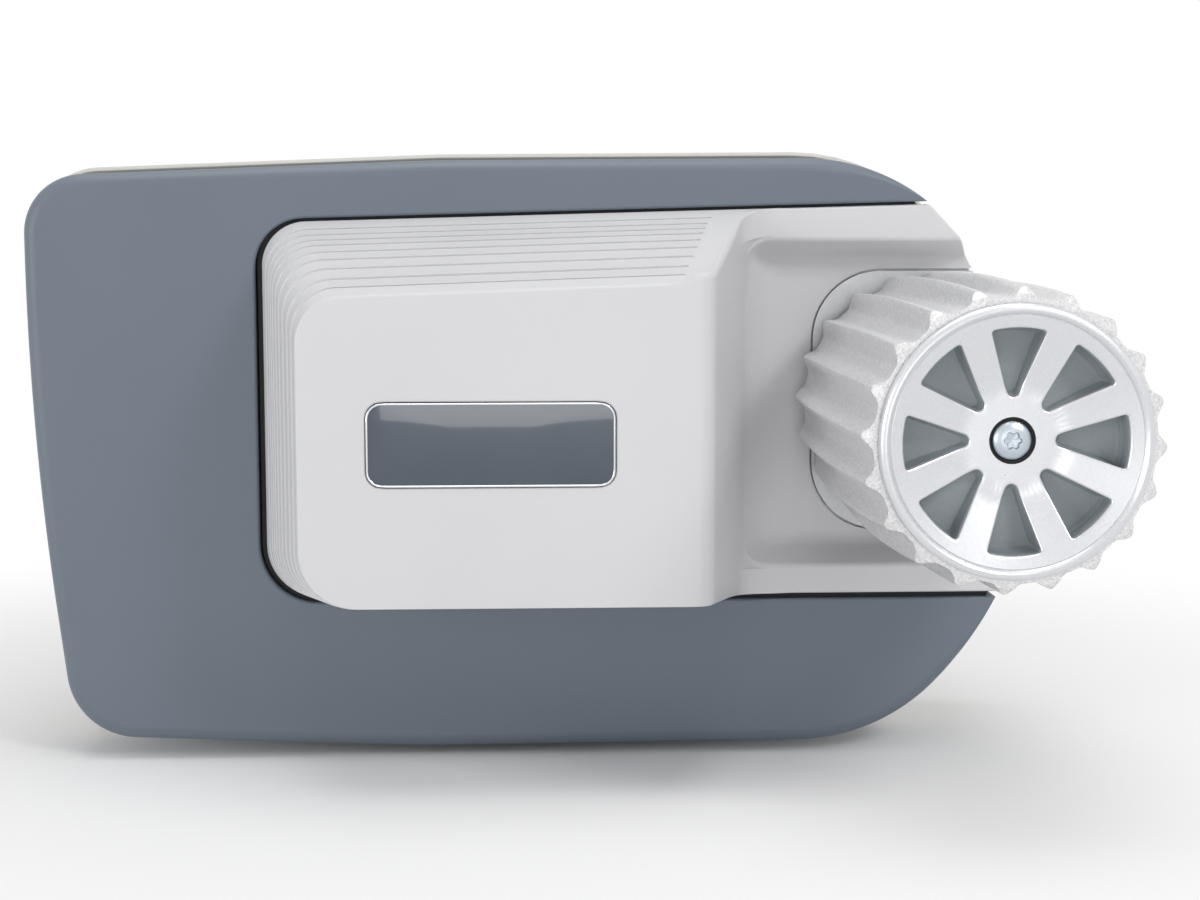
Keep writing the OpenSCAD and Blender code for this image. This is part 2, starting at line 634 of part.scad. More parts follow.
module motor_screws() color("#8d8f91") for (p = motor_spots) screw_y(y_cast - can_t - 4, y_tray, 2.5, p);
module motor_armature() color("#8a5a3a") difference() {
    union() {
        rod_y(y_can + 14, y_cast - can_t - 10, core_r, axis(motor_x));
        rod_y(y_can + 0.5, y_can + 11, 13, axis(motor_x));
        rod_y(y_can + 10, y_can + 15, 9, axis(motor_x));
    }
    rod_y(y_can - 1, y_cast, 5, axis(motor_x));
}

// involute gears; the pinions stand left of their wheels on one line
function inv(a) = tan(a) - a * PI / 180;
shift = 0.35;
play = 0.24;
function half_tooth(r, m, n, x) = (PI / 2 + 2 * x * tan(20) - play / (2 * m)) * 180 / PI / n
    + (inv(20) - inv(acos(min(1, m * n * cos(20) / 2 / r)))) * 180 / PI;
function gear_points(m, n, x, turn) = let (
    root = m * (n / 2 - 1.25 + x), tip = m * (n / 2 + 1 + x),
    low = max(m * n * cos(20) / 2, root + 0.05 * m), rs = [for (j = [0 : 3]) low + (tip - low) * j / 3],
    base = half_tooth(low, m, n, x)
) [for (i = [0 : n - 1]) let (c = turn + 360 * i / n) each concat(
    [root * [cos(c - base), sin(c - base)]],
    [for (r = rs) let (h = half_tooth(r, m, n, x)) r * [cos(c - h), sin(c - h)]],
    [for (j = [3 : -1 : 0]) let (r = rs[j], h = half_tooth(r, m, n, x)) r * [cos(c + h), sin(c + h)]],
    [root * [cos(c + base), sin(c + base)]]
)];
function mesh_turn(n) = n % 2 == 0 ? 180 / n : 0;
module gear(k, m, n, x, turn, at) translate([at, 0, axis_z])
    slab(y_tray + layer[k][0], y_tray + layer[k][1], gear_points(m, n, x, turn));
module pinion(k, m, at) gear(k, m, pinion_teeth, shift, 0, at);
module wheel(k, m, n, at, bore) difference() {
    gear(k, m, n, -shift, mesh_turn(n), at);
    rod_y(y_tray, y_lid, bore, axis(at));
}
seat_r = 8;
module motor_shaft() color("#c9ccd0") {
    rod_y(y_can - 6, y_tray + layer[2][0] + 1, 5, axis(motor_x));
    pinion(2, first_mod, motor_x);
    rod_y(y_tray + layer[2][1] - 1, y_lid + 7, 5, axis(motor_x));
}
module first_wheel() color("#8f9499") wheel(2, first_mod, first_teeth, first_x, seat_r);
module first_shaft() color("#c9ccd0") {
    rod_y(y_tray + 1, y_tray + layer[1][0] + 1, 6, axis(first_x));
    pinion(1, second_mod, first_x);
    rod_y(y_tray + layer[1][1] - 1, y_tray + layer[2][1], seat_r, axis(first_x));
    rod_y(y_tray + layer[2][1] - 1, y_lid + 7, 6, axis(first_x));
}
module second_wheel() color("#8f9499") wheel(1, second_mod, second_teeth, second_x, seat_r);
module second_shaft() color("#c9ccd0") {
    rod_y(y_tray - 4, y_tray + 2, 6, axis(second_x));
    pinion(0, output_mod, second_x);
    rod_y(y_tray + layer[0][1] - 1, y_tray + layer[2][1], seat_r, axis(second_x));
    rod_y(y_tray + layer[2][1] - 1, y_lid + 7, 6, axis(second_x));
}
module output_wheel() color("#8f9499") difference() {
    wheel(0, output_mod, output_teeth, axis_x, shaft_d / 2 - 2.5);
    rod_y(y_tray + layer[0][1] - 2, y_lid, shaft_d / 2 + 3, axis(axis_x));
    key_slot(y_tray - 1, y_tray + layer[0][1] - 2, shaft_d / 2 - 2.5);
}
module wheel_clip() color("#3c3d3f") ring_y(y_tray + layer[0][1] - 2, y_tray + layer[0][1] - 0.5,
    shaft_d / 2 - 3.5, shaft_d / 2 + 2.5, axis(axis_x));

// roller: sleeve with a web on the shaft, key and nut; the end cap closes its front
y_back = y_floor - 4;
y_tip = y_back - roller_len;
y_web = [y_tube - 31, y_tube - 15];
y_hub = y_tip + 10;
key_w = 6;
module key_slot(y0, y1, r)
    block([axis_x - key_w / 2, axis_x + key_w / 2], [y0, y1], [axis_z + r - 3, axis_z + r + 2.5]);
module roller_shaft() color("#c9ccd0") difference() {
    union() {
        rod_y(y_tray - 0.5, y_tray + layer[0][1] - 0.2, shaft_d / 2 - 2.5, axis(axis_x));
        rod_y(y_web[1], y_tray, shaft_d / 2, axis(axis_x));
        rod_y(y_web[0], y_web[1] + 1, shaft_d / 2 - 1, axis(axis_x));
        rod_y(y_web[0] - 15, y_web[0], shaft_d / 2 - 2.5, axis(axis_x));
        rod_y(y_hub, y_web[0] - 14, 8, axis(axis_x));
    }
    key_slot(y_tray, y_tray + layer[0][1] - 2, shaft_d / 2 - 2.5);
    key_slot(y_web[0], y_web[1], shaft_d / 2 - 1);
    ring_y(y_tray + layer[0][1] - 2, y_tray + layer[0][1] - 0.5, shaft_d / 2 - 3.5, shaft_d, axis(axis_x));
    rod_y(y_hub - 1, y_hub + 22, 4, axis(axis_x));
}
module roller_key() color("#8d8f91") {
    key_slot(y_tray + layer[0][0], y_tray + layer[0][1] - 2, shaft_d / 2 - 2.5);
    key_slot(y_web[0], y_web[1], shaft_d / 2 - 1);
}
module hub_nut() color("#8d8f91") difference() {
    hexagon_y(y_web[0] - 11, y_web[0], shaft_d + 7, axis(axis_x));
    rod_y(y_web[0] - 12, y_web[0] + 1, shaft_d / 2 - 2.5, axis(axis_x));
}

// ridges with round tips and round valleys, as a wave; a crowned blank trims them
valley_r = roller_d / 2 - ridge_h;
ridge_turn = -2.6;
function ridge_points() = [for (i = [0 : ridges - 1], j = [0 : 9]) let (
    t = j / 10, a = ridge_turn + 360 * (i + t) / ridges,
    lift = pow(0.5 + 0.5 * cos(360 * t), 1.7), r = valley_r + ridge_h * lift
) r * [cos(a), sin(a)]];
function crown_points() = let (n = 8, r = roller_d / 2) concat([[0, y_back]], [
    for (i = [0 : n]) let (t = 2 * i / n - 1) [r - crown / 2 * t * t, y_back - roller_len * i / n]
], [[0, y_tip]]);
bore_r = tube_r + 5;
module roller_sleeve() color("#d3d5d7") difference() {
    intersection() {
        translate([axis_x, 0, axis_z]) slab(y_tip - 1, y_back + 1, ridge_points());
        turned(axis(axis_x), crown_points());
    }
    rod_y(y_web[1], y_back + 1, bore_r, axis(axis_x));
    rod_y(y_tip - 1, y_web[0], spigot_r, axis(axis_x));
    rod_y(y_web[0] - 1, y_web[1] + 1, shaft_d / 2 - 1, axis(axis_x));
    key_slot(y_web[0] - 1, y_web[1] + 1, shaft_d / 2 - 1);
}

// end cap: dished spider with windows, coloured plate behind it, screw and rubber ring
spigot_r = 41;
hub_t = 5;
window_out = 39;
window_tip = 2.2;
hub_flat = 19.5;
apex = 17.4;
spread = 19.2 * 8 / cap_windows * (cap_windows > 8 ? 0.95 : 1);
// where a straight side leaves the rounded apex, and the angle at which it meets the outer arc
side_start = [apex - window_tip * sin(spread), window_tip * cos(spread)];
side_along = side_start * [cos(spread), sin(spread)];
side_len = sqrt(side_along * side_along - side_start * side_start + window_out * window_out) - side_along;
side_end = side_start + side_len * [cos(spread), sin(spread)];
half_arc = atan2(side_end[1], side_end[0]);
window_points = [
    for (k = [0 : 8]) let (t = 90 + spread + (180 - 2 * spread) * k / 8)
        [apex + window_tip * cos(t), window_tip * sin(t)],
    for (k = [-4 : 4]) window_out * [cos(half_arc * k / 4), sin(half_arc * k / 4)]];
module window(a) slab(y_hub - 20, y_hub + 1, [for (q = window_points)
    axis(axis_x) + [q[0] * cos(a) - q[1] * sin(a), q[0] * sin(a) + q[1] * cos(a)]]);
module cap_spider() color("#cfd1d3") difference() {
    turned(axis(axis_x), [[0, y_hub], [spigot_r - 0.1, y_hub], [spigot_r - 0.1, y_tip], [cap_d / 2, y_tip],
        [cap_d / 2, y_tip - 2], [cap_d / 2 - 1.2, y_tip - 3.6], [cap_d / 2 - 2.6, y_tip - 4],
        [hub_flat, y_hub - hub_t], [0, y_hub - hub_t]]);
    for (i = [0 : cap_windows - 1]) window(i * 360 / cap_windows);
    rod_y(y_hub - hub_t - 1, y_hub - hub_t + 2.5, 8.15, axis(axis_x));
    rod_y(y_hub - hub_t, y_hub + 1, 4 + air, axis(axis_x));
}
module cap_backing() color("#5d6a78") ring_y(y_hub, y_hub + 3, 8 + air, spigot_r - 0.1, axis(axis_x));
module cap_screw() color("#b9b5a6") difference() {
    union() {
        rod_y(y_hub - hub_t + 2.5, y_hub + 18, 4, axis(axis_x));
        turned(axis(axis_x), [[0, y_hub - hub_t + 2.5], [7, y_hub - hub_t + 2.5], [7, y_hub - hub_t + 1.2],
            [5.2, y_hub - hub_t - 0.6], [3, y_hub - hub_t - 1.2], [0, y_hub - hub_t - 1.2]]);
    }
    rod_y(y_hub - hub_t - 3, y_hub - hub_t + 1.2, 2.6, axis(axis_x));
    for (i = [0 : 5]) rod_y(y_hub - hub_t - 3, y_hub - hub_t + 1.2, 0.8,
        axis(axis_x) + 2.5 * [cos(60 * i), sin(60 * i)]);
}
module cap_ring() color("#161616") ring_y(y_hub - hub_t + 1, y_hub - hub_t + 2.5, 7, 8.15, axis(axis_x));

front_cover();
rear_shell();
cover_gasket();
slot_seal();
slot_shield();
base_plate();
guide_rod_upper();
guide_rod_lower();
rod_clips();
mount_plate();
plate_screws();
captive_nuts();
crossbar_spigot();
case_screws();
engage_motor();
engage_gearhead();
engage_bracket();
screw_block();
cable_glands();
terminal_block();
limit_switches();
drive_cover();
badge_plate();
gearbox_casting();
gearbox_lid();
lid_screws();
cover_screws();
bearing_outer_rings();
shaft_seal();
shaft_bushes();
guide_bushes();
drive_nut();
motor_can();
motor_end_cap();
motor_magnets();
motor_brushes();
motor_screws();
roller_sleeve();
roller_shaft();
roller_key();
hub_nut();
cap_spider();
cap_backing();
cap_screw();
cap_ring();
output_wheel();
wheel_clip();
bearing_inner_rings();
second_wheel();
second_shaft();
first_wheel();
first_shaft();
motor_armature();
motor_shaft();
lead_screw();
screw_coupling();
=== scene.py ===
"""Looks of a caravan motor mover: housing, sliding drive unit and ridged drive roller.

Sizes are in millimetres in the part's own frame: X to the tyre, Y inboard, Z up.
The sections follow the order in which the unit is put together.
"""

import bmesh
import bpy
import numpy as np
from mathutils import Matrix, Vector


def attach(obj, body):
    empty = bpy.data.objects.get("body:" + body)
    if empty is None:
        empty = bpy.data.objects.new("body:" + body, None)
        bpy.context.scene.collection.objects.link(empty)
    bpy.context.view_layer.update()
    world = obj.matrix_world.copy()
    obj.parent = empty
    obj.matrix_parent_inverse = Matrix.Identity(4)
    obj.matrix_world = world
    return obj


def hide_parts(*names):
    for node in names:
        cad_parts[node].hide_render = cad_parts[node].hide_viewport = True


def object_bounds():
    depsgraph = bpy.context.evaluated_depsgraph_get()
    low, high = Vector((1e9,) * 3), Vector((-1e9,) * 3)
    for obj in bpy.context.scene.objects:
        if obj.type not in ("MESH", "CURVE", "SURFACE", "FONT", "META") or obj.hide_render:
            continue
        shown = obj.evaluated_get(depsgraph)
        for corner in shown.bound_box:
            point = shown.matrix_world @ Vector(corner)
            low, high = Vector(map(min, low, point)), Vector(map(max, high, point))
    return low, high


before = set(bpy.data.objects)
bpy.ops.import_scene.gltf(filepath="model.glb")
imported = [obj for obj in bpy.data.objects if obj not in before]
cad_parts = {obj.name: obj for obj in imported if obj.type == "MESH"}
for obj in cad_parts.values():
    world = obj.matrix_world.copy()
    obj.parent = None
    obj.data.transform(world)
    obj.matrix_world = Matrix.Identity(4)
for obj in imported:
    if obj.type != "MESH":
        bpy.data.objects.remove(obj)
cad_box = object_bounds()


# ---------------------------------------------------------------------------
# Chassis plate and cross-bar spigot. An 8 mm plate with a tube welded to it,
# dip-coated black; four bolts hold it to the clamp on the caravan's rail.

def linear(code):
    """sRGB hex to linear colour: c/12.92 below 0.04045, else ((c + 0.055)/1.055)^2.4."""
    c = np.array([int(code[i:i + 2], 16) for i in (1, 3, 5)]) / 255
    return (*np.where(c > 0.04045, ((c + 0.055) / 1.055) ** 2.4, c / 12.92), 1.0)


def add(tree, kind, inputs=(), **settings):
    """Adds one shader node: settings are its properties, inputs its sockets' values or links."""
    shader = tree.nodes.new(kind)
    for key, value in settings.items():
        setattr(shader, key, value)
    for key, value in dict(inputs).items():
        if isinstance(value, bpy.types.NodeSocket):
            tree.links.new(value, shader.inputs[key])
        else:
            shader.inputs[key].default_value = value
    return shader


def finish(name, **sockets):
    """A new material with one Principled shader whose sockets get these plain values."""
    material = bpy.data.materials.new(name)
    material.use_nodes = True
    shader = material.node_tree.nodes["Principled BSDF"]
    for key, value in sockets.items():
        shader.inputs[key.replace("_", " ")].default_value = value
    return material, shader


def pattern(shader, kind, size, **inputs):
    """Texture node over the object's own coordinates, with features size mm wide."""
    place = add(shader.id_data, "ShaderNodeTexCoord").outputs["Object"]
    return add(shader.id_data, "ShaderNodeTex" + kind, {"Vector": place, "Scale": 1000.0 / size, **inputs})


def noise(shader, size, detail, **inputs):
    """Value of a noise with features size mm wide."""
    return pattern(shader, "Noise", size, Detail=detail, **inputs).outputs["Fac"]


def tint(shader, factor, first, second):
    """Base colour that goes from the first to the second sRGB hex colour with factor."""
    mix = add(shader.id_data, "ShaderNodeMix", {"Factor": factor, "A": linear(first), "B": linear(second)},
              data_type="RGBA")
    shader.id_data.links.new(mix.outputs["Result"], shader.inputs["Base Color"])


def roughen(shader, value, low, high, top=1.0):
    """Roughness that goes from low to high as value goes from 0 to top."""
    span = add(shader.id_data, "ShaderNodeMapRange", {"Value": value, "From Max": top,
                                                      "To Min": low, "To Max": high})
    shader.id_data.links.new(span.outputs["Result"], shader.inputs["Roughness"])


def emboss(shader, height, strength, depth):
    """Bump that follows height, depth mm deep at full strength."""
    bump = add(shader.id_data, "ShaderNodeBump", {"Height": height, "Strength": strength,
                                                  "Distance": depth / 1000})
    shader.id_data.links.new(bump.outputs["Normal"], shader.inputs["Normal"])


def paint(material, *nodes):
    """Gives CAD nodes that keep their own shape a finish."""
    for name in nodes:
        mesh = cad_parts[name].data
        mesh.materials.clear()
        mesh.materials.append(material)


def dress(piece, material, body, slot, *nodes):
    """Finish, body and the CAD nodes that a new piece stands for; the slot argument is not used."""
    piece.data.materials.clear()
    piece.data.materials.append(material)
    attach(piece, body)
    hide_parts(*nodes)


def soften(name, node, width, bend=40):
    """Copy of a CAD node with merged points, whole flat faces and edges rounded by width mm."""
    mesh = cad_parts[node].data.copy()
    shape = bmesh.new()
    shape.from_mesh(mesh)
    bmesh.ops.remove_doubles(shape, verts=shape.verts, dist=4e-6)
    bmesh.ops.dissolve_limit(shape, angle_limit=0.01, verts=shape.verts, edges=shape.edges)
    shape.to_mesh(mesh)
    shape.free()
    mesh.shade_smooth()
    mesh.set_sharp_from_angle(angle=np.radians(bend))
    piece = bpy.data.objects.new(name, mesh)
    bpy.context.scene.collection.objects.link(piece)
    edge = piece.modifiers.new("rounded edges", "BEVEL")
    edge.width, edge.segments = width / 1000, 2
    edge.limit_method, edge.angle_limit = "ANGLE", np.radians(bend)
    edge.use_clamp_overlap = False
    even = piece.modifiers.new("flat faces", "WEIGHTED_NORMAL")
    even.keep_sharp = True
    return piece


# cathodic dip coat: even, slightly orange-peeled satin black
dip_coat, shader = finish("dip_coated_steel", Base_Color=linear("#2b2d30"), Roughness=0.42)
dust = noise(shader, 45.0, 5.0)
tint(shader, dust, "#26282b", "#33363a")
roughen(shader, dust, 0.36, 0.52)
emboss(shader, noise(shader, 3.0, 3.0), 0.12, 0.4)

chassis_plate = soften("chassis_plate", "mount_plate", 0.8)
dress(chassis_plate, dip_coat, "housing", "painted_steel", "mount_plate")
spigot_tube = soften("spigot_tube", "crossbar_spigot", 1.2)
dress(spigot_tube, dip_coat, "housing", "painted_steel", "crossbar_spigot")


# ---------------------------------------------------------------------------
# Screws, nuts, clips and the steel base plate. Zinc-plated, pale blue
# passivated; the zinc's crystals show as a faint change of shine.

zinc, shader = finish("zinc_plated_steel", Base_Color=linear("#b4b8bc"), Metallic=1.0, Roughness=0.32)
tint(shader, noise(shader, 14.0, 4.0), "#a9b4be", "#cdd4da")
roughen(shader, pattern(shader, "Voronoi", 4.0).outputs["Distance"], 0.26, 0.42, top=0.8)
paint(zinc, "plate_screws", "case_screws", "captive_nuts", "base_plate", "rod_clips", "lid_screws",
      "cover_screws", "motor_screws", "hub_nut", "wheel_clip", "engage_bracket", "screw_block", "roller_key")


# ---------------------------------------------------------------------------
# Rear shell: ABS, injection moulded in a warm light grey, screwed to the base
# plate. A 2 mm gasket seals it against the front cover.

warm_abs, shader = finish("warm_grey_abs", Base_Color=linear("#cbc9c3"), Roughness=0.46, IOR=1.53)
tint(shader, noise(shader, 70.0, 4.0), "#c6c4bd", "#d1cfca")
emboss(shader, noise(shader, 1.1, 2.0), 0.10, 0.2)
shell = soften("shell", "rear_shell", 1.6)
dress(shell, warm_abs, "housing", "shell_grey", "rear_shell")

# EPDM rubber: moulded, matt, with a little bloom
rubber, shader = finish("epdm_rubber", Base_Color=linear("#151516"), Roughness=0.72, IOR=1.5)
tint(shader, noise(shader, 9.0, 4.0), "#0f0f10", "#1d1d1f")
paint(rubber, "cover_gasket", "slot_seal", "shaft_seal")


# ---------------------------------------------------------------------------
# Glands, terminal block, switches, shield and brush holder: glass-filled
# polyamide, moulded black, with the dull streaks that the glass leaves.

polyamide, shader = finish("black_polyamide", Base_Color=linear("#1e2022"), Roughness=0.55, IOR=1.53)
fibre = noise(shader, 2.5, 5.0)
tint(shader, fibre, "#17181a", "#27292c")
roughen(shader, fibre, 0.45, 0.68)
paint(polyamide, "slot_shield", "terminal_block", "limit_switches", "motor_end_cap")
glands = soften("glands", "cable_glands", 0.5)
dress(glands, polyamide, "housing", "black_plastic", "cable_glands")


# ---------------------------------------------------------------------------
# Guide rods, spindle, shafts and bearing rings: ground and hardened steel,
# bright, with grinding lines round the axis too fine to see one by one.

ground, shader = finish("ground_steel", Base_Color=linear("#c4c7ca"), Metallic=1.0, Roughness=0.22)
roughen(shader, noise(shader, 1.5, 3.0), 0.17, 0.29)
paint(ground, "guide_rod_upper", "guide_rod_lower", "lead_screw", "screw_coupling", "roller_shaft",
      "second_shaft", "first_shaft", "motor_shaft", "bearing_outer_rings", "bearing_inner_rings")

# case-hardened gear steel: darker, oiled
gear_steel, shader = finish("hardened_gear_steel", Base_Color=linear("#8c9095"), Metallic=1.0, Roughness=0.35)
roughen(shader, noise(shader, 12.0, 4.0), 0.24, 0.46)
paint(gear_steel, "output_wheel", "second_wheel", "first_wheel")

# sintered bronze bushes and spindle nut: porous, dull gold-brown
bronze, shader = finish("sintered_bronze", Base_Color=linear("#a8824c"), Metallic=1.0, Roughness=0.45)
tint(shader, pattern(shader, "Voronoi", 0.8).outputs["Distance"], "#7d5f36", "#b58e55")
paint(bronze, "shaft_bushes", "guide_bushes", "drive_nut")


# ---------------------------------------------------------------------------
# Motors: deep-drawn steel can in grey stove enamel, ferrite magnets, copper
# winding and carbon-copper brushes. They sit inside the drive unit's nose.

enamel, shader = finish("stove_enamel", Base_Color=linear("#55585c"), Roughness=0.35, IOR=1.5)
emboss(shader, noise(shader, 2.2, 2.0), 0.08, 0.3)
paint(enamel, "motor_can", "engage_gearhead", "engage_motor")

ferrite, shader = finish("ferrite", Base_Color=linear("#3b3c3e"), Roughness=0.6)
tint(shader, noise(shader, 1.6, 4.0), "#303133", "#48494b")
paint(ferrite, "motor_magnets")

copper, shader = finish("enamelled_copper", Base_Color=linear("#8a4f2a"), Metallic=1.0, Roughness=0.3)
turns = pattern(shader, "Wave", 6.0, Distortion=1.0)
turns.bands_direction = "Z"
tint(shader, turns.outputs["Fac"], "#6a3a1d", "#a8683a")
paint(copper, "motor_armature", "motor_brushes")


# ---------------------------------------------------------------------------
# Gearbox casting and lid: pressure die-cast aluminium, sprayed with silver
# lacquer. Its face shows in the recess behind the roller.

silver_cast, shader = finish("silver_lacquered_casting", Base_Color=linear("#cbccce"), Metallic=0.5,
                             Roughness=0.42)
skin_grain = noise(shader, 1.8, 3.0)
tint(shader, skin_grain, "#c8c9cb", "#d2d3d5")
# the flakes are far finer than a pixel, so they are drawn 0.7 mm wide to show as sparkle
roughen(shader, pattern(shader, "Voronoi", 0.7).outputs["Color"], 0.28, 0.56)
emboss(shader, skin_grain, 0.16, 0.4)
paint(silver_cast, "gearbox_lid", "gearbox_casting")


# ---------------------------------------------------------------------------
# Drive roller: cast aluminium sleeve with twenty rounded ridges, a little
# thicker in the middle, chamfered at both ends, lacquered silver over the sand skin.

AXIS_X, AXIS_Z = 162.0, 21.0          # the roller's axis runs along Y
ROLLER_BACK, ROLLER_TIP = -88.0, -248.0


def quads(rows, columns, wrap_rows, wrap_columns):
    """Corner numbers of the quads of a grid, closed on itself where it wraps."""
    i = np.arange(rows if wrap_rows else rows - 1)[:, None]
    j = np.arange(columns if wrap_columns else columns - 1)[None, :]
    up, across = (i + 1) % rows, (j + 1) % columns
    corners = (i * columns + j, i * columns + across, up * columns + across, up * columns + j)
    return np.stack(np.broadcast_arrays(*corners), -1).reshape(-1, 4)


def surface(name, patches, caps=(), bend=32, join=0.004):
    """One mesh from grids of points in mm. A patch is (rows x columns x 3, wrap_rows,
    wrap_columns); a cap is a closed row of points that one flat face fills. Points closer
    than join merge, faces turn outwards, and edges bent by more than bend degrees stay sharp."""
    points, faces, start = [], [], 0
    for grid, wrap_rows, wrap_columns in patches:
        faces += (quads(*grid.shape[:2], wrap_rows, wrap_columns) + start).tolist()
        points.append(grid.reshape(-1, 3))
        start += points[-1].shape[0]
    for row in caps:
        faces.append(list(range(start, start + len(row))))
        points.append(np.asarray(row, float))
        start += len(row)
    mesh = bpy.data.meshes.new(name)
    mesh.from_pydata((np.concatenate(points) / 1000).tolist(), [], faces)
    shape = bmesh.new()
    shape.from_mesh(mesh)
    bmesh.ops.remove_doubles(shape, verts=shape.verts, dist=join / 1000)
    bmesh.ops.dissolve_degenerate(shape, edges=shape.edges, dist=1e-7)
    bmesh.ops.recalc_face_normals(shape, faces=shape.faces)
    shape.to_mesh(mesh)
    shape.free()
    mesh.shade_smooth()
    mesh.set_sharp_from_angle(angle=np.radians(bend))
    piece = bpy.data.objects.new(name, mesh)
    bpy.context.scene.collection.objects.link(piece)
    even = piece.modifiers.new("flat faces", "WEIGHTED_NORMAL")
    even.keep_sharp = True
    return piece


def about_roller(r, y, angle):
    """Points at radius r and depth y, angle radians round the roller's axis."""
    r, y, angle = np.broadcast_arrays(r, y, angle)
    return np.stack([AXIS_X + r * np.cos(angle), y, AXIS_Z + r * np.sin(angle)], -1)


def roller_surface():
    """Radius = valley + height * ((1 + cos 20a)/2)^2.4 * (1 - fall), where a is the angle and
    fall grows with the square of the distance from the middle; a cone cuts the ridge ends."""
    ridges, valley, height, sharpness, fall_at_end = 20, 49.0, 6.5, 2.4, 0.38
    chamfer_from, chamfer_slope = 1.6, 1.15
    first, length, points_each = np.radians(-2.6), ROLLER_BACK - ROLLER_TIP, 20
    a = first + np.linspace(0, 2 * np.pi, ridges * points_each, endpoint=False)
    lift = (0.5 + 0.5 * np.cos(ridges * (a - first))) ** sharpness
    ends = np.array([0, 0.6, 1.2, 1.9, 2.6, 3.4, 4.2, 5.2, 7.0])
    along = np.concatenate([ends, np.linspace(12, length - 12, 18), length - ends[::-1]])[:, None]
    middle = 1 - along / (length / 2)
    r = valley + height * lift * (1 - fall_at_end * middle ** 2)
    r = np.minimum(r, valley + chamfer_from + chamfer_slope * np.minimum(along, length - along))
    outside = about_roller(r, ROLLER_BACK - along, a)
    # inside: seat of the end cap, web on the shaft, hollow for the bearing tube
    inner = np.array([[41, ROLLER_TIP], [41, -202], [11.5, -202],
                      [11.5, -186], [36, -186], [36, ROLLER_BACK]])
    inside = about_roller(inner[:, :1], inner[:, 1:], a)
    return np.concatenate([outside, inside])


roller = surface("roller", [(roller_surface(), True, True)], bend=28)
lacquer, shader = finish("lacquered_sand_casting", Base_Color=linear("#d6d7d9"), Metallic=0.4, Roughness=0.4)
flake = pattern(shader, "Voronoi", 0.7).outputs["Color"]
tint(shader, flake, "#c9c9ca", "#ededee")
roughen(shader, flake, 0.30, 0.48)
emboss(shader, noise(shader, 0.9, 3.0, Roughness=0.6), 0.5, 0.4)
dress(roller, lacquer, "roller", "roller_alu", "roller_sleeve")


# ---------------------------------------------------------------------------
# End cap: ABS spider with eight tapered windows, sprayed satin silver. Its flat
# hub lies 8 mm behind the rim and the spokes rise to it as a cone.

# depth of the hub's face, radius of its flat, depth of the screw's seat
HUB_FACE, HUB_FLAT, SCREW_SEAT = -243.0, 19.5, -240.5
RIM_RADIUS, HUB_HOLE = 43.4, 8.15
WINDOWS = 8


def window_loop(grow):
    """One window on +X, moved outwards by grow: a round apex, two straight sides that open
    by 19.2 degrees each, and an outer arc round the roller's axis with round corners."""
    apex, tip, outer, corner, half = 17.4, 2.2, 39.0, 1.0, np.radians(19.2)
    start = np.array([apex - tip * np.sin(half), tip * np.cos(half)])
    side = np.array([np.cos(half), np.sin(half)])
    # centre of a corner: corner inside the side and inside the outer arc
    inner = start + corner * np.array([np.sin(half), -np.cos(half)])
    b = inner @ side
    centre = inner + side * (np.sqrt(b * b - inner @ inner + (outer - corner) ** 2) - b)
    edge = np.arctan2(centre[1], centre[0])
    arc = np.linspace(-edge, edge, 11)[1:-1]
    turn = np.linspace(edge, np.pi / 2 + half, 6)
    nose = np.linspace(np.pi / 2 + half, 1.5 * np.pi - half, 9)
    top = centre + (corner + grow) * np.stack([np.cos(turn), np.sin(turn)], -1)
    line = np.linspace(top[-1], start + grow * np.array([-side[1], side[0]]), 9)[1:-1]
    upper = np.concatenate([top, line])
    rim = (outer + grow) * np.stack([np.cos(arc), np.sin(arc)], -1)
    back = [apex, 0] + (tip + grow) * np.stack([np.cos(nose), np.sin(nose)], -1)
    return np.concatenate([rim, upper, back, upper[::-1] * [1, -1]])


def sector_loop(hub):
    """Edge of the 45 degree sector round one window, point for point with the window's own loop:
    along the rim, in along a radius, round the hub circle and out along the other radius."""
    half = np.pi / WINDOWS
    arc = np.linspace(-0.8, 0.8, 9) * half
    rim = RIM_RADIUS * np.stack([np.cos(arc), np.sin(arc)], -1)
    a = half * np.concatenate([[0.87, 0.94], np.ones(11)])
    r = np.concatenate([[RIM_RADIUS] * 2, np.linspace(RIM_RADIUS, hub, 12)[:-1]])
    upper = r[:, None] * np.stack([np.cos(a), np.sin(a)], -1)
    turn = np.linspace(half, -half, 9)
    back = hub * np.stack([np.cos(turn), np.sin(turn)], -1)
    return np.concatenate([rim, upper, back, upper[::-1] * [1, -1]])


def dish(r):
    """Depth of the cap's face at radius r: flat hub, a soft bend, then a cone that rises 8 mm."""
    over = r - HUB_FLAT
    climb = np.where(over < -1, 0, np.where(over > 1, over, (over + 1) ** 2 / 4))
    return HUB_FACE - 8.0 * climb / (RIM_RADIUS - HUB_FLAT)


def eight_times(flat, depth):
    """Grids of XZ points about the axis with their depths, turned to all eight windows."""
    patches = []
    for k in range(WINDOWS):
        c, s = np.cos(2 * np.pi * k / WINDOWS), np.sin(2 * np.pi * k / WINDOWS)
        x, z = flat[..., 0], flat[..., 1]
        patches.append((np.stack([AXIS_X + c * x - s * z, depth, AXIS_Z + s * x + c * z], -1), False, True))
    return patches


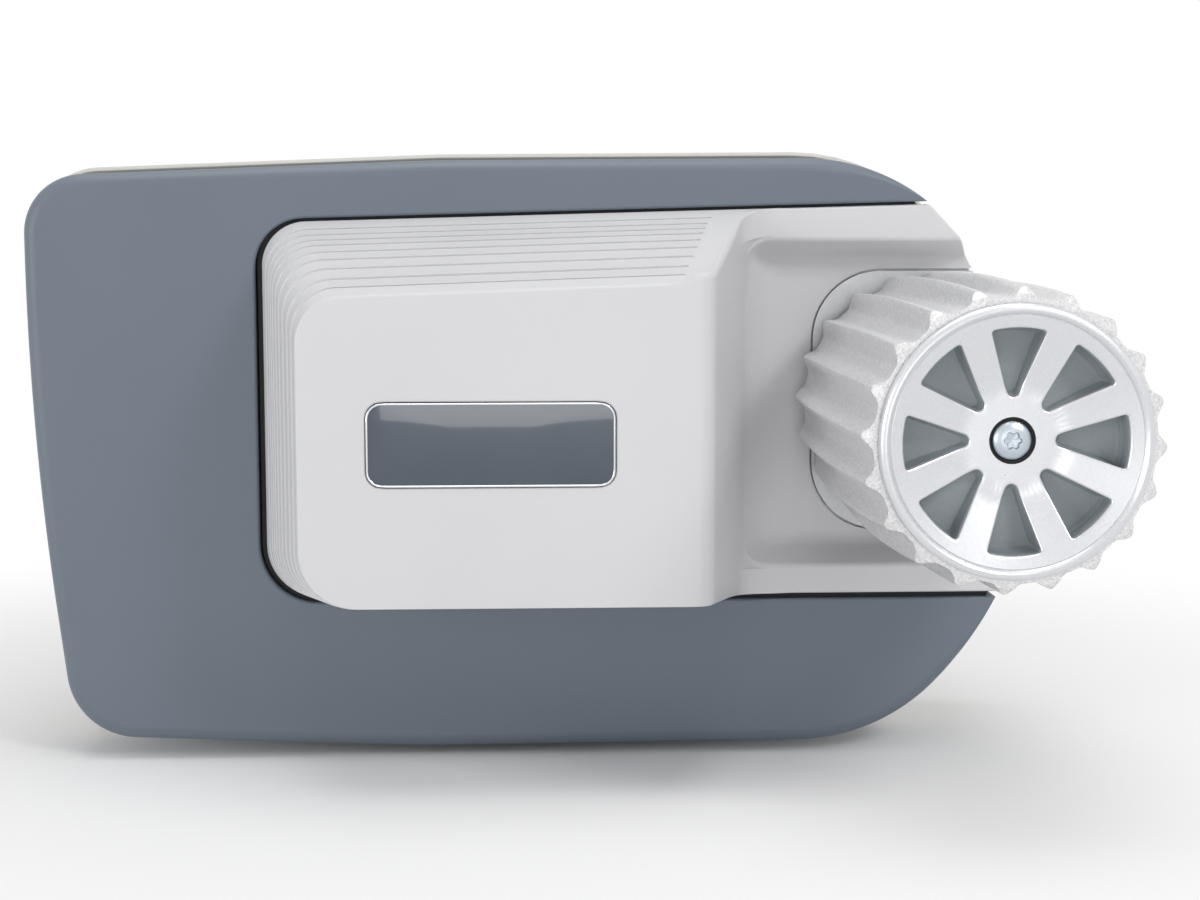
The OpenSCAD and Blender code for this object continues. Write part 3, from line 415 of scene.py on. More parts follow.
def spider_surface():
    """Each sector: the dished face from the sector's edge in to the window, a round edge of
    0.8 mm, then the window's wall; eight turned copies. The rim is a profile turned round the axis."""
    edge, wall = 0.8, 2.4
    t = np.linspace(0, 1, 14)[:, None, None]
    face = sector_loop(HUB_HOLE) * (1 - t) + window_loop(edge) * t
    bow = np.linspace(0, np.pi / 2, 5)[1:]
    bend = np.stack([window_loop(edge * (1 - np.sin(b))) for b in bow] + [window_loop(0.0)])
    sunk = np.array([edge * (1 - np.cos(b)) for b in bow] + [wall])[:, None]
    flat = np.concatenate([face, bend])
    depth = dish(np.linalg.norm(flat, axis=-1))
    depth[len(face):] += sunk
    half, step = np.pi / WINDOWS, 2 * np.pi / WINDOWS * np.arange(WINDOWS)[:, None]
    part = half * np.concatenate([np.linspace(-0.8, 0.8, 9), [0.87, 0.94, 1.0, 1.06, 1.13]])
    curl = np.linspace(0, np.pi / 2, 6)
    rim = [[RIM_RADIUS, dish(np.array(RIM_RADIUS))], [43.75, -250.75], [44.1, -251.1], [44.5, -251.6]]
    rim += [[45.2 + 2.3 * np.sin(c), -250.1 - 1.9 * np.cos(c)] for c in curl]
    # a groove of 0.7 mm parts the rim from the roller's end
    groove = ROLLER_TIP - 0.7
    rim = np.array(rim + [[47.5, groove], [46.3, groove], [46.3, ROLLER_TIP]], float)
    hub = np.array([[HUB_HOLE, HUB_FACE], [HUB_HOLE, SCREW_SEAT], [4.2, SCREW_SEAT]])
    turned = [about_roller(rim[:, :1], rim[:, 1:], (step + part).ravel()),
              about_roller(hub[:, :1], hub[:, 1:], np.arange(64) * np.pi / 32)]
    return eight_times(flat, depth) + [(grid, False, True) for grid in turned]


def pocket_surface():
    """Walls of the eight pockets behind the windows: straight for 2 mm, then drawing in to a flat
    floor that is the window's outline shrunk to 0.86 about its middle."""
    middle = np.array([29.0, 0.0])
    shrinks, levels = (1.0, 0.95, 0.9, 0.86, 0.0), (-241.4, -240.9, -239.6, -238.7, -238.4, -238.4)
    inner = window_loop(-0.3) - middle
    flat = np.stack([window_loop(0.25), window_loop(0.1)] + [middle + inner * shrink for shrink in shrinks])
    depth = np.stack([dish(np.linalg.norm(flat[0], axis=-1)) + 2.0]
                     + [np.full(flat.shape[1], y) for y in levels])
    return eight_times(flat, depth)


spider = surface("cap_front", spider_surface(), bend=34, join=0.02)
satin_silver, shader = finish("silver_sprayed_abs", Base_Color=linear("#cfd1d4"), Metallic=0.7, Roughness=0.3)
flake = pattern(shader, "Voronoi", 0.6).outputs["Color"]
tint(shader, flake, "#d3d4d7", "#dadbde")
roughen(shader, flake, 0.27, 0.36)
dress(spider, satin_silver, "roller", "silver_cast", "cap_spider")

cap_abs, shader = finish("blue_grey_cap_abs", Base_Color=linear("#91999d"), Roughness=0.4, IOR=1.53)
tint(shader, noise(shader, 1.0, 2.0), "#8b9397", "#989fa3")
pockets = surface("cap_pockets", pocket_surface(), bend=50, join=0.001)
dress(pockets, cap_abs, "roller", "cap_blue", "cap_backing")


# ---------------------------------------------------------------------------
# Cap screw: M8 button head with a six-lobe socket, zinc-plated, set in a
# black rubber ring that keeps water out of the hub.

def screw_surface():
    """Dome r, y from the rim to the socket; the socket's edge is r = 2.7 + 0.42 cos 6a, and a
    grid from the dome's circles to that edge and down to the socket's floor."""
    a = np.linspace(0, 2 * np.pi, 120, endpoint=False)
    base, lobe, arch = SCREW_SEAT, 2.7 + 0.42 * np.cos(6 * a), np.pi / 2 * 0.62
    share = np.linspace(0, 1, 7)[:, None]
    dome_r, dome_y = 6.9 * np.cos(share * arch), base - 1.4 - 2.3 * np.sin(share * arch) / np.sin(arch)
    rings = [about_roller(7.0, base, a)[None], about_roller(7.0, base - 1.2, a)[None]]
    rings += [about_roller(dome_r, dome_y, a)]
    rings += [about_roller(np.array([[0.25], [0.0]]) + lobe, np.array([[base - 3.7], [base - 3.4]]), a)]
    rings += [about_roller(lobe, base - 1.6, a)[None], about_roller(0.02, base - 1.3, a)[None]]
    return np.concatenate(rings)


cap_screw = surface("cap_bolt", [(screw_surface(), False, True)], bend=35, join=0.001)
dress(cap_screw, zinc, "roller", "steel", "cap_screw")


def ring_surface(r, thick, y):
    """Circle of radius thick carried round the axis at radius r."""
    a = np.linspace(0, 2 * np.pi, 96, endpoint=False)
    t = np.linspace(0, 2 * np.pi, 16, endpoint=False)[:, None]
    return about_roller(r + thick * np.cos(t), y + thick * np.sin(t), a)


cap_seal = surface("cap_seal", [(ring_surface(7.55, 0.55, -241.6), True, True)])
dress(cap_seal, rubber, "roller", "rubber", "cap_ring")


# ---------------------------------------------------------------------------
# Drive cover: light grey ABS moulding over motor and gearbox. Its nose rises in
# ten facets at the top and left, with a fine step between each two; a sloped wall falls to
# the recess with two rails.

DRIVE_LEFT, DRIVE_TOP, DRIVE_FOOT = -109.0, 95.0, -58.0
DRIVE_SLOPE = 7.5 / 271               # rise of the top edge to the right
DRAW_TOP, DRAW_LEFT, DRAW_FOOT = 28.4, 19.0, 7.5  # how far the nose draws in up to its front
# depths of the rails' front, the nose's front, the recess floor and the rear edge
FRONT, NOSE, FLOOR, RIM = -100.0, -167.0, -84.0, -71.0
NOSE_RIGHT, WALL_FOOT = 67.0, 91.0    # X of the sloped wall at the nose and at the recess floor
# terrace lines, as shares of the slope
STEPS = np.array([0.11, 0.19, 0.26, 0.33, 0.42, 0.52, 0.64, 0.77, 0.885])
HOUSING = [[-204.5, 113.5, 24], [-204.5, 10, 1250], [-189.5, -116, 29], [-50, -122, 600], [150.5, -121.2, 80],
           [204.5, -50.2, 136], [204.5, 50.2, 136], [150.5, 121.5, 80], [-40, 120.1, 600]]
RIGHT_END, END_GAP = 110.0, 0.4       # start of the housing's round end, and the cover's gap to it
ARC_POINTS = 14                       # points of a round corner


def rounded(corners, inset=0.0, per_corner=ARC_POINTS, closed=True):
    """Outline with round corners [x, z, r]: each arc's centre lies r from both sides, and inset
    moves every side to its left. An open outline keeps its two end points."""
    c = np.asarray(corners, float)
    b = c[:, :2]
    u = b - np.roll(b, 1, 0)
    w = np.roll(b, -1, 0) - b
    u /= np.maximum(np.linalg.norm(u, axis=1), 1e-9)[:, None]
    w /= np.maximum(np.linalg.norm(w, axis=1), 1e-9)[:, None]
    left_u, left_w = np.stack([-u[:, 1], u[:, 0]], -1), np.stack([-w[:, 1], w[:, 0]], -1)
    turn = np.arctan2(u[:, 0] * w[:, 1] - u[:, 1] * w[:, 0], (u * w).sum(1))
    side = np.sign(turn)[:, None]
    r = np.maximum(c[:, 2:] - side * inset, 0.05)
    mitre = (left_u + left_w) / np.maximum(1 + (left_u * left_w).sum(1), 1e-6)[:, None]
    centre = b + (inset + side * r) * mitre
    start = np.arctan2(-side[:, 0] * left_u[:, 1], -side[:, 0] * left_u[:, 0])
    a = start[:, None] + turn[:, None] * np.linspace(0, 1, per_corner)
    arcs = centre[:, None] + r[:, None] * np.stack([np.cos(a), np.sin(a)], -1)
    if closed:
        return arcs.reshape(-1, 2)
    return np.concatenate([b[:1], arcs[1:-1].reshape(-1, 2), b[-1:]])


RAIL_UPPER, RAIL_LOWER = 87.0, -45.0  # inner edges of the two rails
# the recess's corner radius, round of the rails' inner edges, run-out of the wall onto the rails
RECESS_CORNER, RAIL_EDGE, FLARE = 10.0, 2.5, 12.5
RAIL_ROUND, RAIL_POINTS = 1.2, 27     # round of a rail's outer edge, points along a rail
NOSE_FOLD = 7.0                       # round between the nose's front and the sloped wall
WALL_RUN = (WALL_FOOT - NOSE_RIGHT) / (FLOOR - NOSE)
WALL_HALF = np.tan(np.arctan2(1.0, WALL_RUN) / 2)


def wall_x(y, foot, length):
    """The sloped wall's X at depth y: a line, rounded by 7 mm at the nose, that runs out in an arc
    onto the plane y = foot. The arc touches that plane length mm beyond the line's own foot."""
    x, r = NOSE_RIGHT + WALL_RUN * (y - NOSE), length / WALL_HALF
    near = np.sqrt(np.maximum(NOSE_FOLD ** 2 - (NOSE_FOLD - (y - NOSE)) ** 2, 0))
    folds = y < NOSE + NOSE_FOLD * WALL_HALF / np.hypot(1, WALL_RUN)
    x = np.where(folds, NOSE_RIGHT - NOSE_FOLD * WALL_HALF + near, x)
    arc = np.sqrt(np.maximum(r ** 2 - (y - foot + r) ** 2, 0))
    out = NOSE_RIGHT + WALL_RUN * (foot - NOSE) + length - arc
    return np.where(y > foot - length / np.hypot(1, WALL_RUN), out, x)


def recess_edge():
    """Heights along the recess's left end at the rails' front, and how far each lies out on the
    rails: 1 on a rail, falling to 0 along the round corner."""
    low, high, r = RAIL_LOWER - RAIL_EDGE, RAIL_UPPER + RAIL_EDGE, RECESS_CORNER + RAIL_EDGE
    turn = np.linspace(0, np.pi / 2, 11)[:-1]
    straight = np.linspace(low + r, high - r, 14)
    z = np.concatenate([low + r * (1 - np.cos(turn)), straight, (high - r * (1 - np.cos(turn)))[::-1]])
    return z, np.concatenate([1 - np.sin(turn), 0 * straight, (1 - np.sin(turn))[::-1]])


def nose_loop(share, y, lean=0.0):
    """Outline of the nose at depth y, share of the way from the slot (0) to the front (1). Left end
    and foot follow the terraces; on the top these lean back by lean, and the last terrace line fades
    out. The top's last 13 mm and the right end follow the smooth slope and run out onto the rails."""
    rise = min(share, 1.0)
    over = share - rise
    depth = FRONT - rise * (FRONT - NOSE) if share else y
    fade = np.clip((FRONT - y) / (FRONT - NOSE), 0, 1)
    top = DRAW_TOP * (min(share, fade) + over if share > 0.83 else share)
    left, foot, slope = DRAW_LEFT * share, DRAW_FOOT * share, DRAW_TOP * share
    level = min(depth, FRONT)
    line_end, end = float(wall_x(level, FLOOR, 0.01)), float(wall_x(level, FRONT, FLARE))
    soft = 0.05 + 2.5 * np.clip(rise * 3, 0, 1)

    def line(x, drop):
        return DRIVE_TOP - drop + (DRIVE_SLOPE + 0.007 * rise) * (x - DRIVE_LEFT)
    crest = line(end, slope) + 3.5 * rise ** 3
    loop = rounded([[DRIVE_LEFT + left, DRIVE_TOP - top, 18], [DRIVE_LEFT + left, DRIVE_FOOT + foot, 22],
                    [end, DRIVE_FOOT + DRAW_FOOT * rise, soft], [end, crest, soft]])
    # the right end has the points of the recess's edge, squeezed to the height of this loop
    z, out = recess_edge()
    z = np.interp(z, [DRIVE_FOOT, DRIVE_TOP + 5.5], [DRIVE_FOOT + 10 * rise, DRIVE_TOP + 5.5 - 28 * rise])
    right = np.stack([line_end + (end - line_end) * out, z], -1)
    stop = [[line_end - 3, line(line_end - 3, slope) + 2.0 * rise ** 3],
            [line_end - 7, line(line_end - 7, slope) + 0.6 * rise ** 3],
            [line_end - 11.8, line(line_end - 11.8, slope)], [line_end - 13, line(line_end - 13, top)]]
    flat = np.concatenate([loop[:3 * ARC_POINTS], right, loop[3 * ARC_POINTS:], stop])
    back = np.full(len(flat), depth)
    back[:ARC_POINTS] = y + lean * np.linspace(1, 0, ARC_POINTS)
    back[ARC_POINTS:2 * ARC_POINTS], back[-1] = y, y + lean
    return np.stack([flat[:, 0], back, flat[:, 1]], -1)


def nose_profile():
    """A slope of ten facets with a small step between each two, as rows of share, y and lean. The
    steps grow from 0.35 mm at the slot to 0.7 mm; the edge to the flat front is rounded by 1.5 mm."""
    fall = 28.0
    half = 0.16 + 0.22 * STEPS
    edge = np.stack([fall * STEPS - half, fall * STEPS + half], -1)
    y = FRONT - STEPS * (FRONT - NOSE)
    corners = np.stack([edge, np.stack([y, y], -1), np.full(edge.shape, 0.05)], -1).reshape(-1, 3)
    path = rounded([[0, FRONT, 0], *corners, [fall, NOSE, 1.5], [fall + 3, NOSE, 0]],
                   per_corner=4, closed=False)[:-1]
    # more rows where the right end runs out onto the rails, and where it folds to the front
    more = [0.0004, 0.003, 0.009, 0.018, 0.032, 0.05, 0.075, 0.14, 0.165,
            0.915, 0.93, 0.945, 0.958, 0.969, 0.978]
    drop = np.sort(np.concatenate([path[:, 0], fall * np.array(more)]))
    lean = np.interp(drop, edge.ravel(), np.tile([0, 0.45], len(edge)), right=0)
    return np.stack([drop / fall, np.interp(drop, path[:, 0], path[:, 1]), lean], -1)


BADGE_MIDDLE, BADGE_SIZE = np.array([-17.0, 12.0]), np.array([94.0, 32.0])
BADGE_CORNER, SEAT_EDGE = 6.0, 1.1     # corner radius; how far the seat's edge lies outside the badge


def badge_loop(grow, angles):
    """Rounded rectangle of the badge, moved outwards by grow, where rays at these angles meet it."""
    half = BADGE_SIZE / 2
    signs = ((-1, 1), (-1, -1), (1, -1), (1, 1))
    loop = rounded([[sx * half[0], sz * half[1], BADGE_CORNER] for sx, sz in signs], -grow, 24)
    turn = np.unwrap(np.arctan2(loop[:, 1], loop[:, 0]))
    x = np.interp(angles, turn, loop[:, 0], period=2 * np.pi)
    z = np.interp(angles, turn, loop[:, 1], period=2 * np.pi)
    # on the straight sides the ray itself gives the exact point
    ray = np.stack([np.cos(angles), np.sin(angles)], -1)
    flat = (half + grow) / np.maximum(np.abs(ray), 1e-9)
    reach = np.minimum(flat[:, 0], flat[:, 1])
    point = ray * reach[:, None]
    inside = (np.abs(point) <= (half - BADGE_CORNER)).any(1)
    return BADGE_MIDDLE + np.where(inside[:, None], point, np.stack([x, z], -1))


def at_depth(flat, y):
    """XZ points set at depth y."""
    return np.stack([flat[..., 0], np.broadcast_to(y, flat.shape[:-1]), flat[..., 1]], -1)


def housing_end(z):
    """X of the drive cover's rounded right end at height z, just inside the housing's."""
    outline = rounded(HOUSING, END_GAP, 30)
    right = outline[outline[:, 0] > RIGHT_END]
    return np.interp(z, right[:, 1], right[:, 0])


# the gearbox opening in the recess: half its height, its left edge, its corner radius
FACE_HALF, FACE_LEFT, FACE_CORNER = 55.0, 116.0, 29.0


def curled(x, y, z, end):
    """Adds to the ends of rows of points the 1.2 mm that curl back to the housing's rounded end."""
    t = np.linspace(0, np.pi / 2, 5)[1:]
    x = np.concatenate([x, end - RAIL_ROUND * (1 - np.sin(t)), end], 1)
    z = np.concatenate([z, np.repeat(z[:, -1:], 5, 1)], 1)
    y = np.concatenate([np.broadcast_to(y, (len(y), x.shape[1] - 5)),
                        y[:, -1:] + RAIL_ROUND * (1 - np.cos(t)), np.full((len(y), 1), RIM)], 1)
    return np.stack([x, np.minimum(y, RIM), z], -1)


def rail_grid(upper):
    """A rail's outer side: rows from the slot over a round edge, which grows to 1.2 mm from the wall
    on, to the front face; columns run from the sloped wall to the housing's end."""
    bow = np.linspace(0, np.pi / 2, 5)
    off = np.concatenate([[0, 0], RAIL_ROUND * (1 - np.cos(bow[1:]))])[:, None]
    back = np.concatenate([[0, RAIL_ROUND], RAIL_ROUND * (1 - np.sin(bow[1:]))])[:, None]
    x0 = float(wall_x(np.array(FRONT), FRONT, FLARE))

    def height(x, grown):
        if upper:
            return DRIVE_TOP + DRIVE_SLOPE * (x - DRIVE_LEFT) - off * grown
        return DRIVE_FOOT + off * grown + 0 * x
    # the end's place depends on its height, which on the upper rail depends on its place
    end = np.full_like(off, 190.0)
    for _ in range(4):
        end = housing_end(height(end, 1))
    x = x0 + (end - RAIL_ROUND - x0) * np.append(0, np.linspace(0.003, 1, 21))
    grown = np.clip((x - x0) / 8, 0, 1)
    y = FRONT + back * grown
    y[0] = RIM
    return curled(x, y, height(x, grown), end)


def recess_grid():
    """The recess as one sheet: columns follow the lower rail in from the right, a round corner, the
    sloped wall, a round corner and the upper rail out again; rows go down from the rails' round
    edges over a side with 25 degrees of draft and a fillet of 6.5 mm, or from the wall by a fillet of
    22 mm, to the floor and on to the gearbox opening and its lip."""
    fillet, fillet_end, run_out = 6.5, 10.7, 16.4
    bow = np.radians(np.linspace(0, 65, 6))
    off = np.concatenate([RAIL_EDGE * (np.sin(bow) - 1), [1.45, 3.1],
                          fillet_end - fillet * np.sin(bow[::-1])])
    y = np.concatenate([FRONT + RAIL_EDGE * (1 - np.cos(bow)), [-95.0, -91.4],
                        FLOOR - fillet * (1 - np.cos(bow[::-1]))])
    left = wall_x(y, FLOOR, run_out)
    low, high, corner = RAIL_LOWER + off, RAIL_UPPER - off, np.maximum(RECESS_CORNER - off, 2.5)
    # two more rows: the opening's edge and its lip
    add_to = [(left, [FACE_LEFT] * 2), (y, [FLOOR, FLOOR + 4]), (low, [AXIS_Z - FACE_HALF] * 2),
              (high, [AXIS_Z + FACE_HALF] * 2), (corner, [FACE_CORNER] * 2)]
    left, y, low, high, corner = [np.concatenate(pair)[:, None] for pair in add_to]
    share, turn = np.append(np.linspace(0, 0.997, 21), 1), np.linspace(0, np.pi / 2, 11)[1:-1]

    def side(z, inward):
        end = housing_end(z)
        straight = end - RAIL_ROUND + (left + corner - end + RAIL_ROUND) * share
        arc_x, arc_z = left + corner * (1 - np.sin(turn)), z + inward * corner * (1 - np.cos(turn))
        return end, straight, np.broadcast_to(z, straight.shape), arc_x, arc_z
    end_low, x1, z1, x2, z2 = side(low, 1)
    end_high, x5, z5, x4, z4 = side(high, -1)
    z3 = low + corner + (high - low - 2 * corner) * np.linspace(0, 1, 14)
    x3 = np.broadcast_to(left, z3.shape)
    x = np.concatenate([x1, x2, x3, x4[:, ::-1], x5[:, ::-1]], 1)
    z = np.concatenate([z1, z2, z3, z4[:, ::-1], z5[:, ::-1]], 1)
    to_upper = curled(x, y, z, end_high)
    # only the five points that curl round the lower rail's end are taken from this one
    to_lower = curled(x[:, ::-1], y, z[:, ::-1], end_low)
    return np.concatenate([to_lower[:, :-6:-1], to_upper], 1)


def drive_patches():
    """Nose loops, the skirt in the slot, both rails, the wall between them, the recess floor round
    the gearbox opening, and the front with its shallow seat for the badge."""
    profile = nose_profile()
    nose = np.stack([nose_loop(*row) for row in profile])
    skirt = np.stack([nose_loop(0, y) for y in (RIM, FRONT)])
    # the skirt runs from the top's right end, the loop's last five points, round the left to the foot
    tail = 5
    skirt = np.roll(skirt, tail, axis=1)[:, :tail + 2 * ARC_POINTS + 1]
    upper, lower, recess = rail_grid(True), rail_grid(False), recess_grid()
    # front faces of the rails
    strips = [np.stack([upper[-1], recess[0, -RAIL_POINTS:]]),
              np.stack([lower[-1], recess[0, RAIL_POINTS - 1::-1]])]
    # the front is filled as an upper and a lower half round the badge's seat
    last, middle = nose[-1], BADGE_MIDDLE[1]
    first, count = 3 * ARC_POINTS, len(recess_edge()[0])
    split = first + (last[first:first + count, 2] < middle).sum()
    ends = np.array([[last[:, 0].max(), NOSE, middle], [last[:, 0].min(), NOSE, middle]])
    turn = np.linspace(np.pi, 0, 90)
    upper_half = np.concatenate([ends[:1], last[split:], last[:ARC_POINTS], ends[1:],
                                 at_depth(badge_loop(SEAT_EDGE, turn), NOSE)])
    lower_half = np.concatenate([ends[1:], last[ARC_POINTS:split], ends[:1],
                                 at_depth(badge_loop(SEAT_EDGE, turn - np.pi), NOSE)])
    angles = np.linspace(-np.pi, np.pi, 178, endpoint=False)
    seat = np.stack([at_depth(badge_loop(grow, angles), NOSE + deep)
                     for grow, deep in ((SEAT_EDGE, 0.0), (0.6, 0.12), (0.3, 0.4), (0.25, 1.0))])
    sheets = [skirt, upper, lower, recess, *strips]
    patches = [(nose, False, True), (seat, False, True)] + [(sheet, False, False) for sheet in sheets]
    return patches, [upper_half, lower_half]


drive = surface("drive_shell", *drive_patches(), bend=38, join=0.02)
light_abs, shader = finish("light_grey_abs", Base_Color=linear("#d5d5d7"), Roughness=0.42, IOR=1.53)
haze = noise(shader, 90.0, 4.0)
tint(shader, haze, "#d0d0d2", "#d9d9db")
roughen(shader, haze, 0.38, 0.48)
# spark-eroded mould grain is about 0.2 mm; drawn 1 mm wide so that it shows
emboss(shader, noise(shader, 1.0, 2.0), 0.06, 0.2)
dress(drive, light_abs, "carriage", "drive_grey", "drive_cover")


# ---------------------------------------------------------------------------
# Badge plate: a bare moulded plate, glossy dark blue under a clear domed
# coat, glued into its shallow seat on the nose.

def badge_surface():
    """Loops of the badge's outline drawn in to its middle, rising as a flat dome to 0.55 mm
    in front of the nose."""
    angles = np.linspace(0, 2 * np.pi, 160, endpoint=False)
    rows = [at_depth(badge_loop(0.0, angles), NOSE + 1.0), at_depth(badge_loop(0.0, angles), NOSE - 0.1)]
    outer = badge_loop(-0.4, angles)
    for share in (1.0, 0.97, 0.9, 0.75, 0.5, 0.25, 0.002):
        flat = BADGE_MIDDLE + (outer - BADGE_MIDDLE) * share
        rows.append(at_depth(flat, NOSE - 0.3 - 0.25 * (1 - share ** 6)))
    return np.stack(rows)


badge = surface("badge_dome", [(badge_surface(), False, True)], bend=40)
gloss, shader = finish("coated_blue_plate", Base_Color=linear("#313f4d"), Roughness=0.12, IOR=1.5,
                       Coat_Weight=1.0, Coat_Roughness=0.03)
tint(shader, noise(shader, 25.0, 3.0), "#2c3947", "#364554")
dress(badge, gloss, "carriage", "badge_blue", "badge_plate")

# bright rim of the plate: chromed plastic, drawn as a half-round bead along its outline
angles, bow = np.linspace(0, 2 * np.pi, 180, endpoint=False), np.linspace(0, np.pi, 9)
bead_r = 0.45
bead = np.stack([at_depth(badge_loop(-bead_r + bead_r * np.cos(t), angles), NOSE - 0.15 - bead_r * np.sin(t))
                 for t in bow])
badge_rim = surface("badge_rim", [(bead, False, True)], bend=60)
chrome, shader = finish("chromed_abs", Base_Color=linear("#d5d8db"), Metallic=1.0, Roughness=0.12)
roughen(shader, noise(shader, 8.0, 3.0), 0.08, 0.2)
badge_rim.data.materials.append(chrome)
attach(badge_rim, "carriage")


# ---------------------------------------------------------------------------
# Front cover: ABS moulded in dark blue-grey, 3 mm thick, with a slot that is open
# on the right for the drive unit. Screwed on from behind through six posts.

COVER_REAR, SHIELD = -61.0, -69.0     # depths of the rear rim at the outline and at the slot


def resample(path, count):
    """count points at equal distances along an open path, and how far each is from the nearer end."""
    s = np.concatenate([[0], np.cumsum(np.linalg.norm(np.diff(path, axis=0), axis=1))])
    t = np.linspace(0, s[-1], count)
    points = np.stack([np.interp(t, s, path[:, 0]), np.interp(t, s, path[:, 1])], -1)
    return points, np.minimum(t, s[-1] - t)


def cover_patches():
    """One C-shaped loop: the housing's outline from the upper horn round to the lower one, then the
    slot's edge back. Every point carries its own edge radius and wall, thinning to nothing at the
    horns; rows run from the inner face over the rear rim and the side to the rounded front edge."""
    gap_left, gap_top, gap_foot, far = 3.0, 1.2, 2.2, 400.0
    outline = rounded(HOUSING, 0, 30)
    right = outline[:, 0] > RIGHT_END
    foot_z = DRIVE_FOOT - gap_foot
    side = outline[right]

    def slot_top(x):
        return DRIVE_TOP + gap_top + DRIVE_SLOPE * (x - DRIVE_LEFT)
    over = side[:, 1] - slot_top(side[:, 0])
    horn_x = np.interp(0, over, side[:, 0])
    horn = np.array([[horn_x, slot_top(horn_x)]])
    heel = np.array([[np.interp(foot_z, side[:, 1], side[:, 0]), foot_z]])
    # the outline starts at its upper left corner and runs by the left, foot and right end
    first = np.flatnonzero(right)[0]
    below = np.concatenate([outline[:first], side[side[:, 1] < foot_z]])
    above = np.concatenate([side[over > 0], outline[np.flatnonzero(right)[-1] + 1:]])
    outer, from_tip = resample(np.concatenate([horn, above, below, heel]), 640)
    slot = rounded([[DRIVE_LEFT - gap_left, DRIVE_TOP + gap_top, 20], [DRIVE_LEFT - gap_left, foot_z, 24],
                    [far, foot_z, 1], [far, slot_top(far), 1]])[:2 * ARC_POINTS][::-1]
    inner, from_heel = resample(np.concatenate([heel, slot, horn]), 420)
    loop = np.concatenate([outer[:-1], inner[:-1]])
    away = np.concatenate([from_tip[:-1], from_heel[:-1]])
    is_outer = np.arange(len(loop)) < len(outer) - 1
    ahead = np.roll(loop, -1, 0) - np.roll(loop, 1, 0)
    ahead /= np.linalg.norm(ahead, axis=1)[:, None]
    inward = np.stack([-ahead[:, 1], ahead[:, 0]], -1)
    edge = np.where(is_outer, np.minimum(0.15 + 0.14 * away, 6.0), np.minimum(0.15 + 0.08 * away, 1.2))
    thick = np.minimum(0.2 + 0.16 * away, np.where(is_outer, 3.0, 2.5))
    rear = np.where(is_outer, COVER_REAR, SHIELD + np.maximum(8 - away, 0))

    def ring(inset, y):
        return at_depth(loop + inward * np.broadcast_to(inset, len(loop))[:, None], y)
    rows = [ring(thick, np.full(len(loop), FRONT + 3.0)), ring(thick, rear), ring(0, rear)]
    for t in np.linspace(0, np.pi / 2, 9):
        rows.append(ring(edge * (1 - np.cos(t)), FRONT + edge * (1 - np.sin(t))))
    grid = np.stack(rows)
    return [(grid, False, True)], [grid[0], grid[-1]]


cover = surface("cover_skin", *cover_patches(), bend=35, join=0.001)
dark_abs, shader = finish("blue_grey_abs", Base_Color=linear("#6a7480"), Roughness=0.45, IOR=1.53)
haze = noise(shader, 110.0, 4.0)
tint(shader, haze, "#646d79", "#6c7682")
roughen(shader, haze, 0.40, 0.52)
# fine grain of the mould, about 0.3 mm; drawn 0.9 mm wide so that it shows
emboss(shader, noise(shader, 0.9, 2.0), 0.10, 0.2)
dress(cover, dark_abs, "housing", "cover_dark", "front_cover")


# ---------------------------------------------------------------------------
# Studio: white floor, soft lamps low in front, above and far left, a smaller one at the
# upper right, and a white surround that glossy metal can reflect.

floor_z, reach = cad_box[0].z, 6.0
floor = bpy.data.objects.new("floor", bpy.data.meshes.new("floor"))
floor.data.from_pydata([(x * reach, y * reach, floor_z) for x, y in ((-1, -1), (1, -1), (1, 1), (-1, 1))],
                       [], [(0, 1, 2, 3)])
bpy.context.scene.collection.objects.link(floor)
paper, shader = finish("white_paper", Base_Color=linear("#f4f4f4"), Roughness=0.9)
tree = shader.id_data
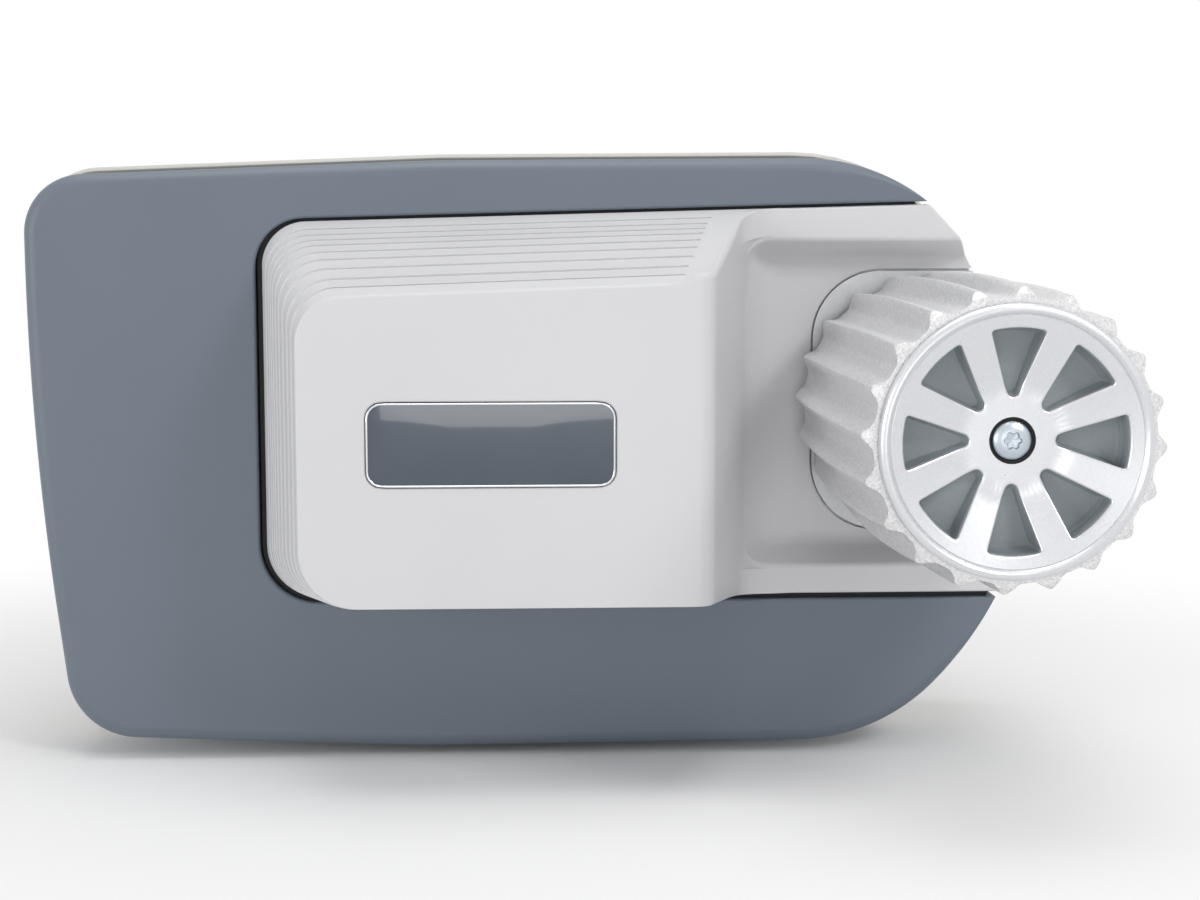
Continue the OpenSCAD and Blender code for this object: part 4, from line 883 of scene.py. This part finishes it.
# away from the object the paper glows as white as the surround, so that no horizon shows
place = add(tree, "ShaderNodeTexCoord").outputs["Object"]
away = add(tree, "ShaderNodeVectorMath", {0: place}, operation="LENGTH")
fade = add(tree, "ShaderNodeMapRange", {"Value": away.outputs["Value"], "From Min": 0.12, "From Max": 0.55},
           interpolation_type="SMOOTHSTEP")
glow = add(tree, "ShaderNodeEmission", {"Color": (1.0, 1.0, 1.0, 1.0), "Strength": 1.0})
both = add(tree, "ShaderNodeMixShader", {0: fade.outputs["Result"], 1: shader.outputs["BSDF"],
                                         2: glow.outputs["Emission"]})
tree.links.new(both.outputs["Shader"], tree.nodes["Material Output"].inputs["Surface"])
floor.data.materials.append(paper)

world = bpy.data.worlds.new("studio")
bpy.context.scene.world = world
world.use_nodes = True
tree = world.node_tree
path = add(tree, "ShaderNodeLightPath")
seen = add(tree, "ShaderNodeMath", {0: path.outputs["Is Camera Ray"], 1: path.outputs["Is Glossy Ray"]},
           operation="MAXIMUM")
strength = add(tree, "ShaderNodeMapRange", {"Value": seen.outputs["Value"], "To Min": 0.38, "To Max": 1.0})
tree.links.new(strength.outputs["Result"], tree.nodes["Background"].inputs["Strength"])
tree.nodes["Background"].inputs["Color"].default_value = (1.0, 1.0, 1.0, 1.0)


def lamp(name, place, target, size, power):
    """A square area lamp at place, in metres, turned to target."""
    light = bpy.data.lights.new(name, "AREA")
    light.size, light.energy = size, power
    obj = bpy.data.objects.new(name, light)
    bpy.context.scene.collection.objects.link(obj)
    back = np.array(place) - np.array(target)
    back /= np.linalg.norm(back)
    right = np.cross([0.0, 0.0, 1.0], back)
    right /= np.linalg.norm(right)
    up = np.cross(back, right)
    turned = zip(np.stack([right, up, back], 1), place)
    obj.matrix_world = Matrix([[*row, p] for row, p in turned] + [[0, 0, 0, 1]])


lamp("front", (0.1, -1.75, -0.04), (0.0, -0.1, 0.0), 0.6, 2.6)
lamp("above", (-0.05, -0.2, 1.8), (0.0, -0.1, 0.0), 1.2, 13.5)
lamp("right", (0.9, -1.15, 1.0), (0.1, -0.1, 0.0), 0.4, 7.5)
lamp("left", (-1.7, -1.3, 0.1), (0.1, -0.1, 0.0), 1.0, 12.5)


# ---------------------------------------------------------------------------
# Camera: in front of the cover, a little above the drive unit, as the picture was taken.

lens = bpy.data.cameras.new("camera")
lens.lens = 61.5
lens.sensor_width = 36.0
camera = bpy.data.objects.new("camera", lens)
bpy.context.scene.collection.objects.link(camera)
camera.location = (-0.0131, -0.9342, 0.0970)
camera.rotation_euler = np.radians([90 - 6.468, 0.0, -2.77])
bpy.context.scene.camera = camera
bpy.context.scene.view_settings.view_transform = "Standard"
